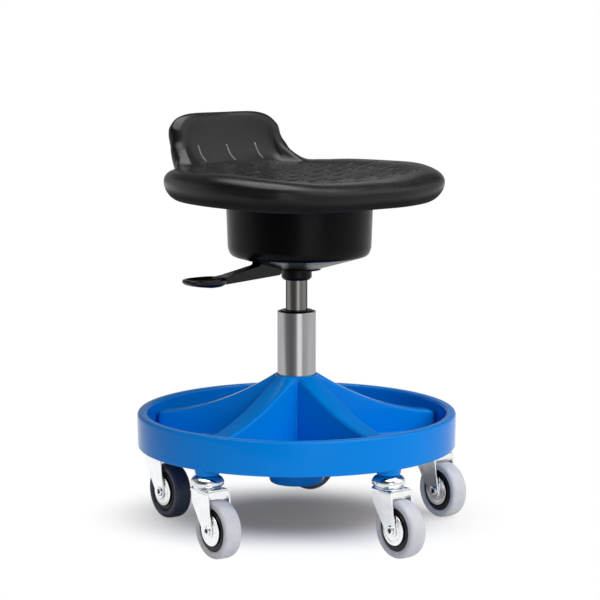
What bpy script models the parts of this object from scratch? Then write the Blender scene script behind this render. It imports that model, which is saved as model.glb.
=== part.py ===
"""Low mobile work stool with a tool-tray base.

Frame: metres, +Z up, origin on the floor under the column, the sitter faces -Y.
Every piece is its own object. Moving pieces hang on empties placed on their joint axes.
"""
import math

import bmesh
import bpy
from mathutils import Matrix, Vector

MM = 0.001

# Clearances
SEAT_GAP = 0.3 * MM        # between pieces that rest on or in one another
RUN_GAP = 0.4 * MM         # between pieces that slide or turn on one another
CUT_PAST = 5.0 * MM        # how far a cutter runs past the face it opens

# Castors
CASTOR_COUNT = 5
BASE_TURN = math.radians(-3.3)  # base against the seat, as it happens to stand
CASTOR_INSET = 17.0 * MM   # swivel axis inside the outer edge of the tray
WHEEL_D = 73.0 * MM
WHEEL_W = 24.0 * MM
WHEEL_CORE_D = 54.0 * MM
TYRE_SHOULDER = 2.6 * MM
WHEEL_HUB_D = 20.0 * MM
WHEEL_HUB_W = 25.0 * MM
AXLE_D = 10.0 * MM
AXLE_HEAD_D = 16.0 * MM
AXLE_HEAD_T = 2.2 * MM
AXLE_RECESS_D = 6.4 * MM
AXLE_RECESS = 1.0 * MM     # floor of the recess under the seat of the head
GUARD_D = 39.0 * MM
GUARD_T = 1.2 * MM
GUARD_DISH = 2.4 * MM
TRAIL = 24.0 * MM
FORK_T = 2.4 * MM
FORK_BEND_R = 4.0 * MM
FORK_END_R = 9.5 * MM
FORK_LEAD = 13.0 * MM      # crown length ahead of the swivel axis
FORK_LEAD_DROP = 18.0 * MM  # straight part of the cheek's leading edge
FORK_REAR = 25.0 * MM      # crown length behind the swivel axis
FORK_LIP = 8.0 * MM        # turned-down lip at the rear of the crown
FORK_CROWN_CLEAR = 10.5 * MM
RACE_D = 31.0 * MM
RACE_H = 11.5 * MM
RACE_CUP_D = 42.0 * MM
RACE_CUP_T = 2.4 * MM
RACE_CUP_SKIRT = 13.0 * MM
RACE_CUP_DRAFT = 1.2 * MM  # how much the skirt draws in at its foot
STEM_D = 10.0 * MM
STEM_L = 12.0 * MM
STEM_HEAD_D = 17.0 * MM
STEM_HEAD_T = 2.4 * MM
# Direction in which each wheel trails, turned from the front
TRAIL_TURNS = [-3.0, -3.0, 80.0, -5.0, -4.0]
DARK_TYRES = [2, 3]

# Tray
TRAY_D = 415.0 * MM
TRAY_H = 44.0 * MM
TRAY_WALL = 3.6 * MM
RIM_W = 13.0 * MM
RIM_DRAFT = 0.6 * MM       # how much narrower the foot of the rim is, on the radius
SKIRT_DROP = 3.0 * MM      # rim foot below the underside of the floor
FLOOR_T = 4.0 * MM
BOSS_D = 32.0 * MM
BOSS_FACE_D = 29.0 * MM
BOSS_DROP = 8.0 * MM       # boss face below the rim foot
HUB_RISE = 92.0 * MM       # hub top above the rim foot
HUB_DROP = 52.0 * MM       # hub bottom below the rim foot
HUB_TOP_D = 57.0 * MM
HUB_FOOT_D = 80.0 * MM      # hub where it meets the tray floor
HUB_SKIRT_D = 84.0 * MM     # hub where it leaves the underside of the floor
HUB_BOTTOM_D = 71.0 * MM
RIB_END_GAP = 4.0 * MM    # end of a rib ahead of the rim
RIB_END_BELOW_CREST = 11.0 * MM
RIB_INNER_W = 29.0 * MM
RIB_OUTER_W = 23.0 * MM
RIB_DRAFT = math.tan(math.radians(7.0))
RIB_CORNER = 4.0 * MM
RIB_SAG = 0.78             # how far the rib top hangs under a straight line
HUB_EDGE = 1.8 * MM        # rounding of the hub's upper edge
HUB_BOTTOM_EDGE = 4.0 * MM
FLOOR_FILLET = 3.0 * MM
RIB_ROOT = 2.0 * MM        # how deep a rib runs into the hub
HOLLOW_ROOT = 10.0 * MM    # solid root between the hub wall and the hollow under a rib
WEB_T = 3.0 * MM
WEB_ROOT = 4.0 * MM         # start of a web outside the top of the hub
WEB_OUTER_DEPTH = 6.0 * MM
WEB_INNER_DEPTH = 22.0 * MM

# Gas spring
TUBE_D = 50.0 * MM
TUBE_T = 2.0 * MM
TUBE_EDGE = 0.8 * MM       # bevel of the upper edge
TUBE_SHOWS = 82.0 * MM
TUBE_SET = 3.0 * MM        # foot of the tube above the hub bottom
TUBE_TAPER_L = 70.0 * MM
TUBE_TAPER = 1.2 * MM      # loss of radius over the taper
TUBE_FOOT_T = 3.0 * MM
BUSH_L = 78.0 * MM
BUSH_LIP = 1.5 * MM
BUSH_EDGE = 1.0 * MM
PISTON_D = 28.0 * MM
PISTON_BORE_D = 22.0 * MM
PISTON_SHOWS = 41.0 * MM
PISTON_GLAND_L = 12.0 * MM
PISTON_BORE_SPARE = 20.0 * MM  # bore left over the piston head at the lowest seat
PISTON_TAPER = 0.8 * MM
STROKE_DOWN = 30.0 * MM
STROKE_UP = 90.0 * MM
ROD_D = 10.0 * MM
ROD_TAIL_D = 8.0 * MM
ROD_TAIL_END = 0.8 * MM    # rod below its clip
PISTON_HEAD_L = 12.0 * MM
BEARING_D = 28.0 * MM
BEARING_H = 8.0 * MM
CLIP_D = 18.0 * MM
CLIP_T = 1.6 * MM
CLIP_GROOVE = 1.0 * MM     # depth of the groove that the clip sits in
VALVE_PIN_D = 7.0 * MM
VALVE_PIN_L = 20.0 * MM
VALVE_PIN_EDGE = 1.0 * MM
VALVE_PIN_SHOWS = 6.0 * MM
VALVE_TRAVEL = 4.6 * MM

# Seat mechanism
SOCKET_D = 39.5 * MM
COLLAR_L = 15.5 * MM       # socket below the cover
COLLAR_CHAMFER = 3.0 * MM
WASHER_D = 55.0 * MM
WASHER_T = 1.5 * MM
COVER_FORWARD = 6.0 * MM    # cover ahead of the column axis
COVER_TOP_D = 189.0 * MM
COVER_CORNER_D = 185.0 * MM
COVER_H = 83.0 * MM
COVER_CORNER_H = 20.0 * MM
COVER_CORNER_R = 7.0 * MM
COVER_T = 2.5 * MM
COVER_SLOT_W = 28.0 * MM
COVER_SLOT_IN = 23.0 * MM
COVER_SLOT_OUT = 86.0 * MM
PLATE_W = 120.0 * MM
PLATE_T = 2.5 * MM
PLATE_CORNER = 14.0 * MM
SCREW_PITCH = 90.0 * MM
SCREW_D = 6.0 * MM
SCREW_HEAD_D = 12.0 * MM
SCREW_HEAD_H = 4.0 * MM
SCREW_L = 10.0 * MM
BOARD_D = 174.0 * MM
BOARD_T = 9.0 * MM
EAR_T = 2.5 * MM
EAR_W = 18.0 * MM

# Lever
LEVER_TIP_R = 183.0 * MM   # tip of the paddle from the column axis
PADDLE_L = 52.0 * MM
PADDLE_W = 40.0 * MM
PADDLE_T = 11.0 * MM
PADDLE_DISH = 4.5 * MM
PADDLE_TIP_UP = 2.5 * MM   # how far the tip of the paddle lifts
PADDLE_TIP_THIN = 0.6      # share of its thickness that the paddle loses at the tip
LEVER_ARM_W = 18.0 * MM
LEVER_HUB_W = 23.0 * MM
LEVER_HEEL_R = 31.0 * MM   # inner end of the arm from the column axis
LEVER_PANEL_RIM = 3.0 * MM
LEVER_PANEL_DEPTH = 4.5 * MM
LEVER_PIVOT_R = 40.0 * MM
LEVER_PIVOT_UP = 34.0 * MM  # pivot above the cover's underside
LEVER_HEEL_RISE = 5.5 * MM  # heel above the foot of the paddle
LEVER_EYE_R = 8.0 * MM
LEVER_TONGUE_W = 12.0 * MM
LEVER_TONGUE_T = 4.5 * MM
LEVER_DROP = 2.0 * MM      # top of the paddle below the cover's underside
LEVER_PIN_D = 6.0 * MM
LEVER_PIN_HEAD_D = 10.0 * MM
LEVER_PIN_HEAD_T = 2.0 * MM

# Seat pad: half outline, each row is a place along the rim from the front to the back.
# Columns: crest x, y and height over the pan, then lower edge x, y and height over
# the underside, then pan edge x, y and height over the pan, all in millimetres.
SEAT_RIM = [
    (0, -158, 4, 0, -144, 1, 0, -116, 0),
    (72, -153, 8, 64, -140, 1, 58, -110, 0),
    (136, -127, 20, 124, -115, 3, 98, -88, 0),
    (172, -60, 20, 159, -55, 6, 120, -44, 0),
    (176, 8, 18, 162, 8, 7, 122, 6, 0),
    (159, 66, 18, 146, 60, 7, 110, 42, 3),
    (126, 97, 17, 116, 86, 8, 88, 62, 7),
    (103, 110, 22, 96, 99, 9, 74, 76, 10),
    (91, 131, 46, 84, 107, 9, 62, 86, 12),
    (85, 149, 75, 73, 113, 9, 52, 94, 13),
    (47, 158, 84, 42, 119, 9, 28, 98, 13),
    (0, 160, 85, 0, 121, 9, 0, 99, 13),
]
SEAT_THICK = 26.0 * MM     # pad at the middle of the pan
SEAT_DISH = 3.0 * MM       # middle of the pan under its edge
SEAT_ROLL = 13.0 * MM      # reach of the rolled edge outside the crest
SEAT_INNER_ROLL = 12.0 * MM
SEAT_BANK_LEAD = 0.3        # share of the bank over which it leaves the pan's own slope
SEAT_FLAT_D = 216.0 * MM   # flat of the underside, round the cover
PAN_LOW_Y = -12.0 * MM      # lowest place of the pan
SEAT_SIDES = 64

# Heights, stacked up from the floor
CROWN_UNDER = WHEEL_D + FORK_CROWN_CLEAR
CROWN_TOP = CROWN_UNDER + FORK_T
RACE_TOP = CROWN_TOP + RACE_H
CUP_INNER_TOP = RACE_TOP + RUN_GAP
CUP_TOP = CUP_INNER_TOP + RACE_CUP_T
BOSS_FACE = CUP_TOP + SEAT_GAP
RIM_FOOT = BOSS_FACE + BOSS_DROP
FLOOR_UNDER = RIM_FOOT + SKIRT_DROP
FLOOR_TOP = FLOOR_UNDER + FLOOR_T
RIM_CREST = RIM_FOOT + TRAY_H
HUB_TOP = RIM_FOOT + HUB_RISE
HUB_BOTTOM = RIM_FOOT - HUB_DROP
TUBE_FOOT = HUB_BOTTOM + TUBE_SET
TUBE_TOP = HUB_TOP + TUBE_SHOWS
BUSH_TOP = TUBE_TOP + BUSH_LIP
SOCKET_FOOT = TUBE_TOP + PISTON_SHOWS
COVER_FOOT = SOCKET_FOOT + COLLAR_L
COVER_TOP = COVER_FOOT + COVER_H
PAD_UNDER = COVER_TOP + SEAT_GAP
PAN_Z = PAD_UNDER + SEAT_THICK
BOARD_UNDER = PAD_UNDER
PLATE_TOP = BOARD_UNDER - SEAT_GAP
PLATE_UNDER = PLATE_TOP - PLATE_T
SOCKET_TOP = PLATE_UNDER - SEAT_GAP
LEVER_TONGUE_TOP = SOCKET_TOP - 2.0 * RUN_GAP
VALVE_PIN_TOP = LEVER_TONGUE_TOP - LEVER_TONGUE_T - SEAT_GAP
PISTON_TOP = VALVE_PIN_TOP - VALVE_PIN_SHOWS
LEVER_PIVOT_Z = COVER_FOOT + LEVER_PIVOT_UP
PADDLE_TOP = COVER_FOOT - LEVER_DROP

# Tray, inside
CASTOR_CIRCLE_R = 0.5 * TRAY_D - CASTOR_INSET
RIB_END_R = 0.5 * TRAY_D - RIM_W - RIB_END_GAP
WEB_INNER_R = 0.5 * HUB_TOP_D + WEB_ROOT
WEB_OUTER_R = CASTOR_CIRCLE_R - 0.25 * BOSS_D

# Gas spring, inside
BEARING_FOOT = TUBE_FOOT + TUBE_FOOT_T + SEAT_GAP
ROD_SHOULDER = BEARING_FOOT + BEARING_H + SEAT_GAP
PISTON_FOOT = ROD_SHOULDER + RUN_GAP + STROKE_DOWN
PISTON_HEAD_FOOT = PISTON_FOOT + PISTON_GLAND_L + STROKE_UP + RUN_GAP
PISTON_BORE_TOP = PISTON_HEAD_FOOT + PISTON_HEAD_L + STROKE_DOWN + PISTON_BORE_SPARE

# Castor, inside
WHEEL_R = 0.5 * WHEEL_D
GUARD_IN = 0.5 * WHEEL_HUB_W + SEAT_GAP
FORK_IN = GUARD_IN + GUARD_T + SEAT_GAP
FORK_OUT = FORK_IN + FORK_T
AXLE_SEAT = FORK_OUT + SEAT_GAP
AXLE_HOLE_R = 0.5 * AXLE_D + SEAT_GAP
STEM_HOLE_R = 0.5 * STEM_D + RUN_GAP

# Facets
TRAY_SIDES = 40
COVER_SIDES = 30
WHEEL_SIDES = 20
TURNED_SIDES = 20
SMALL_SIDES = 10
PADDLE_SIDES = 18


def clear_scene():
    for obj in list(bpy.data.objects):
        bpy.data.objects.remove(obj, do_unlink=True)


def linear(channel):
    if channel <= 0.04045:
        return channel / 12.92
    return ((channel + 0.055) / 1.055) ** 2.4


def material(name, colour, roughness, metallic=0.0):
    mat = bpy.data.materials.new(name)
    mat.use_nodes = True
    shader = mat.node_tree.nodes["Principled BSDF"]
    rgb = [linear(int(colour[i:i + 2], 16) / 255.0) for i in (1, 3, 5)]
    shader.inputs["Base Color"].default_value = (*rgb, 1.0)
    shader.inputs["Roughness"].default_value = roughness
    shader.inputs["Metallic"].default_value = metallic
    mat.diffuse_color = (*rgb, 1.0)
    return mat


def empty(name, location=(0.0, 0.0, 0.0), turn=0.0, parent=None):
    obj = bpy.data.objects.new(name, None)
    obj.location = location
    obj.rotation_euler = (0.0, 0.0, turn)
    obj.parent = parent
    bpy.context.collection.objects.link(obj)
    return obj


def link(name, mesh, mat=None, parent=None, location=(0.0, 0.0, 0.0)):
    obj = bpy.data.objects.new(name, mesh)
    obj.location = location
    obj.parent = parent
    if mat is not None:
        mesh.materials.clear()
        mesh.materials.append(mat)
    bpy.context.collection.objects.link(obj)
    return obj


def finish_mesh(bm, name, smooth=30.0):
    bmesh.ops.remove_doubles(bm, verts=bm.verts, dist=1e-6)
    bmesh.ops.recalc_face_normals(bm, faces=bm.faces)
    mesh = bpy.data.meshes.new(name)
    bm.to_mesh(mesh)
    bm.free()
    mesh.shade_smooth()
    mesh.set_sharp_from_angle(angle=math.radians(smooth))
    return mesh


def turned(name, profile, sides, axis="Z", half_step=False):
    """Spins a profile of (radius, height) points. It closes on the axis or on itself."""
    bm = bmesh.new()
    verts = [bm.verts.new((r, 0.0, z)) for r, z in profile]
    edges = [bm.edges.new(pair) for pair in zip(verts, verts[1:])]
    if profile[0][0] > 1e-9:
        edges.append(bm.edges.new((verts[-1], verts[0])))
    bmesh.ops.spin(bm, geom=verts + edges, cent=(0, 0, 0), axis=(0, 0, 1),
                   angle=2.0 * math.pi, steps=sides, use_merge=True)
    bmesh.ops.remove_doubles(bm, verts=bm.verts, dist=1e-6)
    on_axis = [v for v in bm.verts if v.co.xy.length < 1e-6]
    bmesh.ops.dissolve_verts(bm, verts=on_axis)
    if half_step:
        bm.transform(Matrix.Rotation(math.pi / sides, 4, "Z"))
    if axis == "X":
        bm.transform(Matrix.Rotation(math.pi / 2, 4, "Y"))
    if axis == "Y":
        bm.transform(Matrix.Rotation(-math.pi / 2, 4, "X"))
    return finish_mesh(bm, name)


def prism(name, outline, low, high, plane="XY"):
    """Extrudes a closed outline. The plane's third axis runs from low to high."""
    bm = bmesh.new()
    places = {
        "XY": lambda a, b, c: (a, b, c),
        "XZ": lambda a, b, c: (a, c, b),
        "YZ": lambda a, b, c: (c, a, b),
    }
    place = places[plane]
    verts = [bm.verts.new(place(a, b, low)) for a, b in outline]
    face = bm.faces.new(verts)
    pushed = bmesh.ops.extrude_face_region(bm, geom=[face])
    moved = [v for v in pushed["geom"] if isinstance(v, bmesh.types.BMVert)]
    bmesh.ops.translate(bm, verts=moved, vec=place(0.0, 0.0, high - low))
    return finish_mesh(bm, name)


def arc(centre, radius, start, end, steps):
    """Points of a circular arc, with angles in degrees."""
    points = []
    for i in range(steps + 1):
        angle = math.radians(start + (end - start) * i / steps)
        points.append((centre[0] + radius * math.cos(angle),
                       centre[1] + radius * math.sin(angle)))
    return points


def box_outline(low_a, high_a, low_b, high_b):
    return [(low_a, low_b), (high_a, low_b), (high_a, high_b), (low_a, high_b)]


def combine(target, tools, operation):
    """Applies one Boolean per tool and drops the tools."""
    for tool in tools:
        modifier = target.modifiers.new("combine", "BOOLEAN")
        modifier.operation = operation
        modifier.solver = "EXACT"
        modifier.object = tool
        tool.hide_render = True
        tool.display_type = "WIRE"
        bpy.context.view_layer.update()
        graph = bpy.context.evaluated_depsgraph_get()
        mesh = bpy.data.meshes.new_from_object(target.evaluated_get(graph))
        target.modifiers.clear()
        target.data = mesh
    for tool in tools:
        bpy.data.objects.remove(tool, do_unlink=True)
    return target


def ring_places(count):
    """Turns about the column axis, the first one pointing about to the front."""
    return [BASE_TURN + 2.0 * math.pi * i / count for i in range(count)]


def turn_about_column(obj, angle):
    obj.data.transform(Matrix.Rotation(angle, 4, "Z"))
    return obj


def rib_top(radius):
    """Height of the rib's top edge, a hanging curve from the hub to the rib's end."""
    start = 0.5 * HUB_TOP_D
    low = RIM_CREST - RIB_END_BELOW_CREST
    share = (radius - start) / (RIB_END_R - start)
    share = min(max(share, 0.0), 1.0)
    fall = share + RIB_SAG * share * (1.0 - share)
    return HUB_TOP - (HUB_TOP - low) * fall


def rib_half_width(radius):
    start = 0.5 * HUB_TOP_D
    share = min(max((radius - start) / (RIB_END_R - start), 0.0), 1.0)
    return 0.5 * (RIB_INNER_W + (RIB_OUTER_W - RIB_INNER_W) * share)


def rib_foot_half_width(radius, foot):
    return rib_half_width(radius) + RIB_DRAFT * (rib_top(radius) - foot)


def loft(name, rows, smooth=30.0):
    """Skins rows of points, all of one length, and closes both ends with a face."""
    bm = bmesh.new()
    loops = [[bm.verts.new(point) for point in row] for row in rows]
    for near, far in zip(loops, loops[1:]):
        for i in range(len(near)):
            j = (i + 1) % len(near)
            bm.faces.new((near[i], near[j], far[j], far[i]))
    bm.faces.new(loops[0])
    bm.faces.new(list(reversed(loops[-1])))
    return finish_mesh(bm, name, smooth)


def rib_solid(name, start, end, inset, foot, corner, steps):
    """A drafted rib along -Y. A positive inset makes the hollow under it."""
    stations = [(start + (end - corner - start) * i / steps, 0.0) for i in range(steps + 1)]
    if corner > 0.0:
        for angle in (30.0, 60.0, 90.0):
            a = math.radians(angle)
            stations.append((end - corner + corner * math.sin(a), corner * (1.0 - math.cos(a))))
    rows = []
    for radius, narrow in stations:
        top = rib_top(radius) - inset
        upper = rib_half_width(radius) - inset - narrow
        lower = upper + RIB_DRAFT * (top - foot)
        corners = [(-lower, foot), (-upper, top), (upper, top), (lower, foot)]
        rows.append([(x, -radius, z) for x, z in corners])
    return link(name, loft(name, rows))


def web_solid(side):
    """A wall under the floor that carries one side of a rib on from the hub to the boss."""
    inside = FLOOR_UNDER + 0.5 * FLOOR_T
    rows = []
    for radius, depth in ((WEB_INNER_R, WEB_INNER_DEPTH), (WEB_OUTER_R, WEB_OUTER_DEPTH)):
        clear = radius * math.tan(math.pi / CASTOR_COUNT) - WEB_T
        under_wall = rib_foot_half_width(radius, FLOOR_UNDER) - 0.5 * TRAY_WALL
        middle = side * min(under_wall, clear)
        corners = [(-0.5 * WEB_T, inside), (0.5 * WEB_T, inside),
                   (0.5 * WEB_T, FLOOR_UNDER - depth), (-0.5 * WEB_T, FLOOR_UNDER - depth)]
        rows.append([(middle + x, -radius, z) for x, z in corners])
    return link("web", loft("web", rows))


def tray_dish():
    """Rim, floor and hub turned in one profile, with the rim hollow from below."""
    outer = 0.5 * TRAY_D
    roll = 0.5 * RIM_W
    inner_roll = roll - TRAY_WALL
    crown = RIM_CREST - roll
    mid = outer - roll
    tip = outer - RIM_DRAFT
    floor_edge = outer - RIM_W
    hub_in = 0.5 * TUBE_D + SEAT_GAP
    hub_low = hub_in - TUBE_TAPER
    taper_top = TUBE_FOOT + TUBE_TAPER_L
    profile = [(hub_in, HUB_TOP)]
    profile += [(0.5 * HUB_TOP_D - HUB_EDGE, HUB_TOP), (0.5 * HUB_TOP_D, HUB_TOP - HUB_EDGE)]
    profile += [(0.5 * HUB_FOOT_D, FLOOR_TOP)]
    profile += [(floor_edge - RIM_DRAFT - FLOOR_FILLET, FLOOR_TOP)]
    profile += [(floor_edge - RIM_DRAFT, FLOOR_TOP + FLOOR_FILLET)]
    profile += arc((mid, crown), roll, 180.0, 0.0, 4)
    profile += [(tip, RIM_FOOT), (tip - TRAY_WALL, RIM_FOOT)]
    profile += arc((mid, crown), inner_roll, 0.0, 180.0, 2)
    profile += [(mid - inner_roll - RIM_DRAFT, FLOOR_UNDER)]
    profile += [(0.5 * HUB_SKIRT_D, FLOOR_UNDER)]
    profile += [(0.5 * HUB_BOTTOM_D, HUB_BOTTOM + HUB_BOTTOM_EDGE)]
    profile += [(0.5 * HUB_BOTTOM_D - HUB_BOTTOM_EDGE, HUB_BOTTOM)]
    profile += [(hub_low, HUB_BOTTOM), (hub_low, TUBE_FOOT), (hub_in, taper_top)]
    return link("tray", turned("tray", profile, TRAY_SIDES, half_step=True))


def build_tray(mat):
    tray = tray_dish()
    hub_wall = 0.5 * TUBE_D + SEAT_GAP + TRAY_WALL
    hollow_end = CASTOR_CIRCLE_R - 0.5 * BOSS_D
    added, hollows = [], []
    for angle in ring_places(CASTOR_COUNT):
        rib = rib_solid("rib", hub_wall - RIB_ROOT, RIB_END_R, 0.0,
                        FLOOR_UNDER + 0.3 * FLOOR_T, RIB_CORNER, 8)
        added.append(turn_about_column(rib, angle))
        inside = FLOOR_UNDER + 0.5 * FLOOR_T
        profile = [(0.0, inside), (0.5 * BOSS_D, inside), (0.5 * BOSS_D, RIM_FOOT),
                   (0.5 * BOSS_FACE_D, BOSS_FACE), (0.0, BOSS_FACE)]
        boss = link("boss", turned("boss", profile, SMALL_SIDES))
        boss.data.transform(Matrix.Translation((0.0, -CASTOR_CIRCLE_R, 0.0)))
        added.append(turn_about_column(boss, angle))
        for side in (-1.0, 1.0):
            added.append(turn_about_column(web_solid(side), angle))
        hollow = rib_solid("hollow", hub_wall + HOLLOW_ROOT, hollow_end, TRAY_WALL,
                           FLOOR_UNDER - 0.2 * CUT_PAST, 0.0, 6)
        hollows.append(turn_about_column(hollow, angle))
        stem_top = CUP_TOP + STEM_L + SEAT_GAP
        profile = [(0.0, stem_top), (0.5 * STEM_D + SEAT_GAP, stem_top),
                   (0.5 * STEM_D + SEAT_GAP, BOSS_FACE - CUT_PAST), (0.0, BOSS_FACE - CUT_PAST)]
        hole = link("hole", turned("hole", profile, SMALL_SIDES))
        hole.data.transform(Matrix.Translation((0.0, -CASTOR_CIRCLE_R, 0.0)))
        hollows.append(turn_about_column(hole, angle))
    combine(tray, added, "UNION")
    combine(tray, hollows, "DIFFERENCE")
    tray.data.name = "tray"
    tray.data.materials.clear()
    tray.data.materials.append(mat)
    return tray


def build_column(steel, black):
    outer = 0.5 * TUBE_D
    inner = outer - TUBE_T
    taper_top = TUBE_FOOT + TUBE_TAPER_L
    tail_hole = 0.5 * ROD_TAIL_D + RUN_GAP
    profile = [(inner, TUBE_TOP), (outer - TUBE_EDGE, TUBE_TOP), (outer, TUBE_TOP - TUBE_EDGE),
               (outer, taper_top), (outer - TUBE_TAPER, TUBE_FOOT), (tail_hole, TUBE_FOOT),
               (tail_hole, TUBE_FOOT + TUBE_FOOT_T),
               (inner - TUBE_TAPER, TUBE_FOOT + TUBE_FOOT_T), (inner, taper_top)]
    link("column_tube", turned("column_tube", profile, TURNED_SIDES), steel)
    bush_in = 0.5 * PISTON_D + RUN_GAP
    bush_out = inner - SEAT_GAP
    profile = [(bush_in + BUSH_EDGE, BUSH_TOP), (bush_out - BUSH_LIP, BUSH_TOP),
               (bush_out, TUBE_TOP), (bush_out, BUSH_TOP - BUSH_L), (bush_in, BUSH_TOP - BUSH_L),
               (bush_in, BUSH_TOP - BUSH_EDGE)]
    link("guide_bush", turned("guide_bush", profile, TURNED_SIDES), black)
    profile = [(0.5 * ROD_TAIL_D + RUN_GAP, BEARING_FOOT + BEARING_H),
               (0.5 * BEARING_D, BEARING_FOOT + BEARING_H), (0.5 * BEARING_D, BEARING_FOOT),
               (0.5 * ROD_TAIL_D + RUN_GAP, BEARING_FOOT)]
    link("thrust_bearing", turned("thrust_bearing", profile, TURNED_SIDES), steel)


def build_rod(steel, parent):
    clip_top = TUBE_FOOT - SEAT_GAP
    clip_foot = clip_top - CLIP_T
    tail_foot = clip_foot - ROD_TAIL_END
    groove_r = 0.5 * ROD_TAIL_D - CLIP_GROOVE
    head_r = 0.5 * PISTON_BORE_D - RUN_GAP
    head_top = PISTON_HEAD_FOOT + PISTON_HEAD_L
    groove_low = clip_foot - SEAT_GAP
    groove_high = clip_top + SEAT_GAP
    profile = [(0.0, head_top), (head_r, head_top), (head_r, PISTON_HEAD_FOOT),
               (0.5 * ROD_D, PISTON_HEAD_FOOT), (0.5 * ROD_D, ROD_SHOULDER),
               (0.5 * ROD_TAIL_D, ROD_SHOULDER), (0.5 * ROD_TAIL_D, groove_high),
               (groove_r, groove_high), (groove_r, groove_low), (0.5 * ROD_TAIL_D, groove_low),
               (0.5 * ROD_TAIL_D, tail_foot), (0.0, tail_foot)]
    link("piston_rod", turned("piston_rod", profile, SMALL_SIDES), steel, parent)
    inner = groove_r + SEAT_GAP
    outer = 0.5 * CLIP_D
    outline = arc((0.0, 0.0), outer, 30.0, 330.0, 16) + arc((0.0, 0.0), inner, 330.0, 30.0, 12)
    link("retaining_clip", prism("retaining_clip", outline, clip_foot, clip_top), steel, parent)


def build_pressure_tube(steel, brass, parent, valve_parent):
    outer = 0.5 * PISTON_D
    bore = 0.5 * PISTON_BORE_D
    rod_hole = 0.5 * ROD_D + RUN_GAP
    pin_hole = 0.5 * VALVE_PIN_D + RUN_GAP
    pin_foot = VALVE_PIN_TOP - VALVE_PIN_L
    pit = pin_foot - VALVE_TRAVEL - 2.0 * RUN_GAP
    gland_top = PISTON_FOOT + PISTON_GLAND_L
    profile = [(0.0, pit), (pin_hole, pit), (pin_hole, PISTON_TOP),
               (outer - PISTON_TAPER, PISTON_TOP), (outer, SOCKET_FOOT), (outer, PISTON_FOOT),
               (rod_hole, PISTON_FOOT), (rod_hole, gland_top), (bore, gland_top),
               (bore, PISTON_BORE_TOP), (0.0, PISTON_BORE_TOP)]
    link("pressure_tube", turned("pressure_tube", profile, TURNED_SIDES), steel, parent)
    pin_r = 0.5 * VALVE_PIN_D
    profile = [(0.0, VALVE_PIN_TOP), (pin_r - VALVE_PIN_EDGE, VALVE_PIN_TOP),
               (pin_r, VALVE_PIN_TOP - VALVE_PIN_EDGE), (pin_r, pin_foot), (0.0, pin_foot)]
    link("valve_pin", turned("valve_pin", profile, SMALL_SIDES), brass, valve_parent)


def screw_places():
    half = 0.5 * SCREW_PITCH
    return [(-half, -half), (half, -half), (half, half), (-half, half)]


def rounded_square(width, corner, steps):
    reach = 0.5 * width - corner
    points = []
    for i, (sx, sy) in enumerate([(1, 1), (-1, 1), (-1, -1), (1, -1)]):
        points += arc((sx * reach, sy * reach), corner, 90.0 * i, 90.0 * (i + 1), steps)
    return points


def disc_tool(name, radius, low, high, sides, place=(0.0, 0.0)):
    profile = [(0.0, high), (radius, high), (radius, low), (0.0, low)]
    tool = link(name, turned(name, profile, sides))
    tool.data.transform(Matrix.Translation((place[0], place[1], 0.0)))
    return tool


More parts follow.
